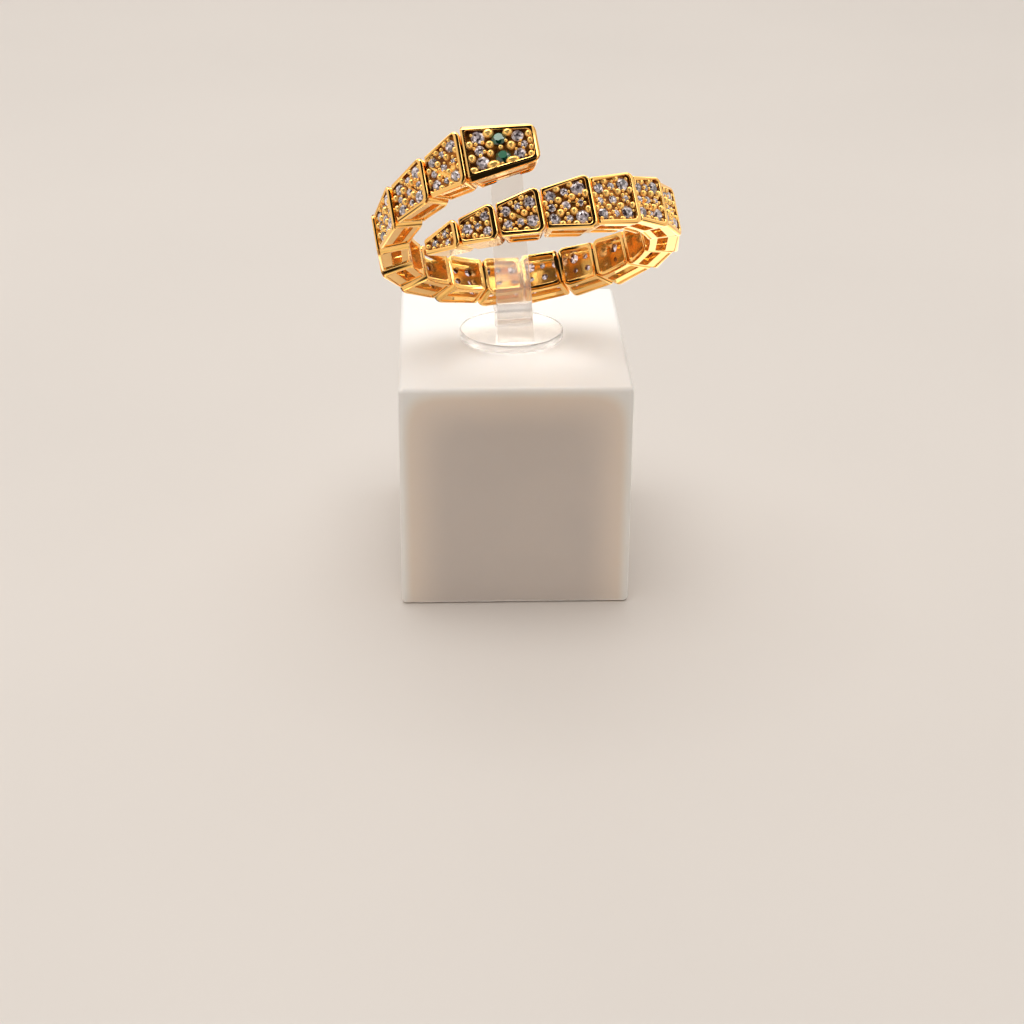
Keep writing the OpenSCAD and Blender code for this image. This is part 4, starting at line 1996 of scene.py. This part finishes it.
@dataclass
class Studio:
    """A pale floor, soft lamps, the mirrored room and the camera.

    The floor's side is in metres, and the camera's place in mm.
    """

    floor_side: float = 4.0
    floor_colour: Colour = (0.7, 0.65, 0.6)
    floor_rough: float = 0.6
    floor_cloud_mm: float = 60.0
    floor_dim: float = 0.97
    air_colour: Colour = (0.96, 0.88, 0.81)
    air_level: float = 0.34
    mirror_level: float = 0.95
    camera_at: tuple[float, float, float] = (-5.95, -165.74, 82.29)
    pitch_deg: float = 25.65
    yaw_deg: float = 2.1
    roll_deg: float = 0.32
    focal_px: float = 2200.0
    frame_px: float = 1024.0
    sensor_mm: float = 36.0
    clip_m: Point = (0.01, 20.0)
    lamps: tuple[SoftLamp, ...] = (
        SoftLamp("top_light", (-0.02, -0.03, 0.6), 0.65, 3.1),
        SoftLamp("left_light", (-0.5, -0.25, 0.35), 0.4, 0.16),
    )
    patches: tuple[SkyPatch, ...] = (
        SkyPatch(15, -58, 32, 8, 1.7),
        SkyPatch(0, 64, 36, 8, 2.8),
        SkyPatch(60, 58, 12, 4, 0.1),
        SkyPatch(82, 36, 14, 6, 0.9),
        SkyPatch(195, 50, 46, 4, 0.012),
        SkyPatch(181, -14, 20, 5, 0.012),
        SkyPatch(100, -30, 14, 6, 0.03),
        SkyPatch(270, -30, 16, 6, 0.05),
        SkyPatch(108, 46, 8, 3, 5.0),
        SkyPatch(70, 50, 7, 3, 4.5),
        SkyPatch(285, 45, 9, 3, 4.5),
        SkyPatch(318, 22, 7, 3, 3.5),
        SkyPatch(40, 20, 7, 3, 3.5),
        SkyPatch(180, -62, 12, 4, 3.0),
        SkyPatch(300, 66, 11, 4, 9.0),
    )

    def build(self) -> None:
        """Sets up everything round the object."""
        self._floor()
        self._air()
        for lamp in self.lamps:
            lamp.hang()
        self._camera()

    def _floor(self) -> None:
        """Lays the floor."""
        half = self.floor_side / 2
        corners = [(x * half, y * half, 0) for x, y in ((-1, -1), (1, -1), (1, 1), (-1, 1))]
        mesh = bpy.data.meshes.new("floor")
        mesh.from_pydata(corners, [], [(0, 1, 2, 3)])
        piece = add_object("floor", mesh)
        bench = FinishBench("floor_paint")
        bench.set(Roughness=self.floor_rough)
        cloud = bench.ranged(bench.noise(self.floor_cloud_mm), 0, 1)
        dim = tuple(c * self.floor_dim for c in self.floor_colour)
        bench.wire(bench.blend(cloud, self.floor_colour, dim), "Base Color")
        mesh.materials.append(bench.material)
        piece.visible_glossy = False

    def _air(self) -> None:
        """Fills the room with even light, and with patches that only polished metal mirrors."""
        world = bpy.data.worlds.new("room")
        bpy.context.scene.world = world
        world.use_nodes = True
        bench = NodeBench(world.node_tree, "Generated")
        mirrored: Colour | Socket = tuple(c * self.mirror_level for c in self.air_colour)
        for patch in self.patches:
            reach = [math.cos(math.radians(max(0.0, patch.half_angle + k * patch.soft))) for k in (1, -1)]
            share = bench.ranged(bench.along(patch.direction()), 0, 1, reach, soft=True)
            mirrored = bench.blend(share, mirrored, tuple(c * patch.level for c in patch.tint))
        glossy = bench.tree.nodes.new("ShaderNodeLightPath").outputs["Is Glossy Ray"]
        shown = bench.blend(glossy, tuple(c * self.air_level for c in self.air_colour), mirrored)
        bench.tree.links.new(shown, bench.tree.nodes["Background"].inputs["Color"])

    def _camera(self) -> None:
        """Sets the camera where the photograph was taken from."""
        p, y, r = (math.radians(a) for a in (self.pitch_deg, self.yaw_deg, self.roll_deg))
        ahead = Vector((math.sin(y) * math.cos(p), math.cos(y) * math.cos(p), -math.sin(p)))
        right = Vector((math.cos(y), -math.sin(y), 0))
        up = right.cross(ahead)
        side = math.cos(r) * right + math.sin(r) * up
        head = -math.sin(r) * right + math.cos(r) * up
        data = bpy.data.cameras.new("camera")
        data.sensor_width = self.sensor_mm
        data.lens = self.focal_px / self.frame_px * self.sensor_mm
        data.clip_start, data.clip_end = self.clip_m
        camera = add_object("camera", data)
        axes = Matrix((side, head, -ahead)).transposed().to_4x4()
        camera.matrix_world = Matrix.Translation(Vector(self.camera_at) * MM) @ axes
        bpy.context.scene.camera = camera


def main() -> None:
    """Builds and dresses every piece in order."""
    logging.basicConfig(level=logging.INFO, format="%(message)s")
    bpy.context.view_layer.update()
    bpy.context.scene.view_settings.view_transform = "Standard"
    golds = [finish.material() for finish in GOLDS]
    for i in range(PLAN.head):
        BandLink(i).build(golds)
    SnakeHead().build(golds)
    fields = [(i, s) for i in range(PLAN.head + 1) for s in STONES[PLAN.pattern(i)]]
    StoneTray("pave_stones", ("clear_stones",), "clear_stone", CLEAR, seed=7).build(fields)
    for name, node, spot, seed in (
        ("upper_eye", "eye_upper", EYES[0], 3),
        ("lower_eye", "eye_lower", EYES[1], 5),
    ):
        # The eyes' facets carry darker painted reflections, and their tables a lighter painted reflection.
        tray = StoneTray(
            name, (node,), "green_stone", GREEN, seed,
            lean_deg=14.0, tilt_deg=1.0, facet_lights=(0.0, 0.05, 0.15, 0.3, 0.5), table_facet_light=0.7,
        )
        tray.build([(PLAN.head, spot)])
    RingClip().build()
    DisplayBlock().build()
    Studio().build()


if __name__ == "__main__":
    main()
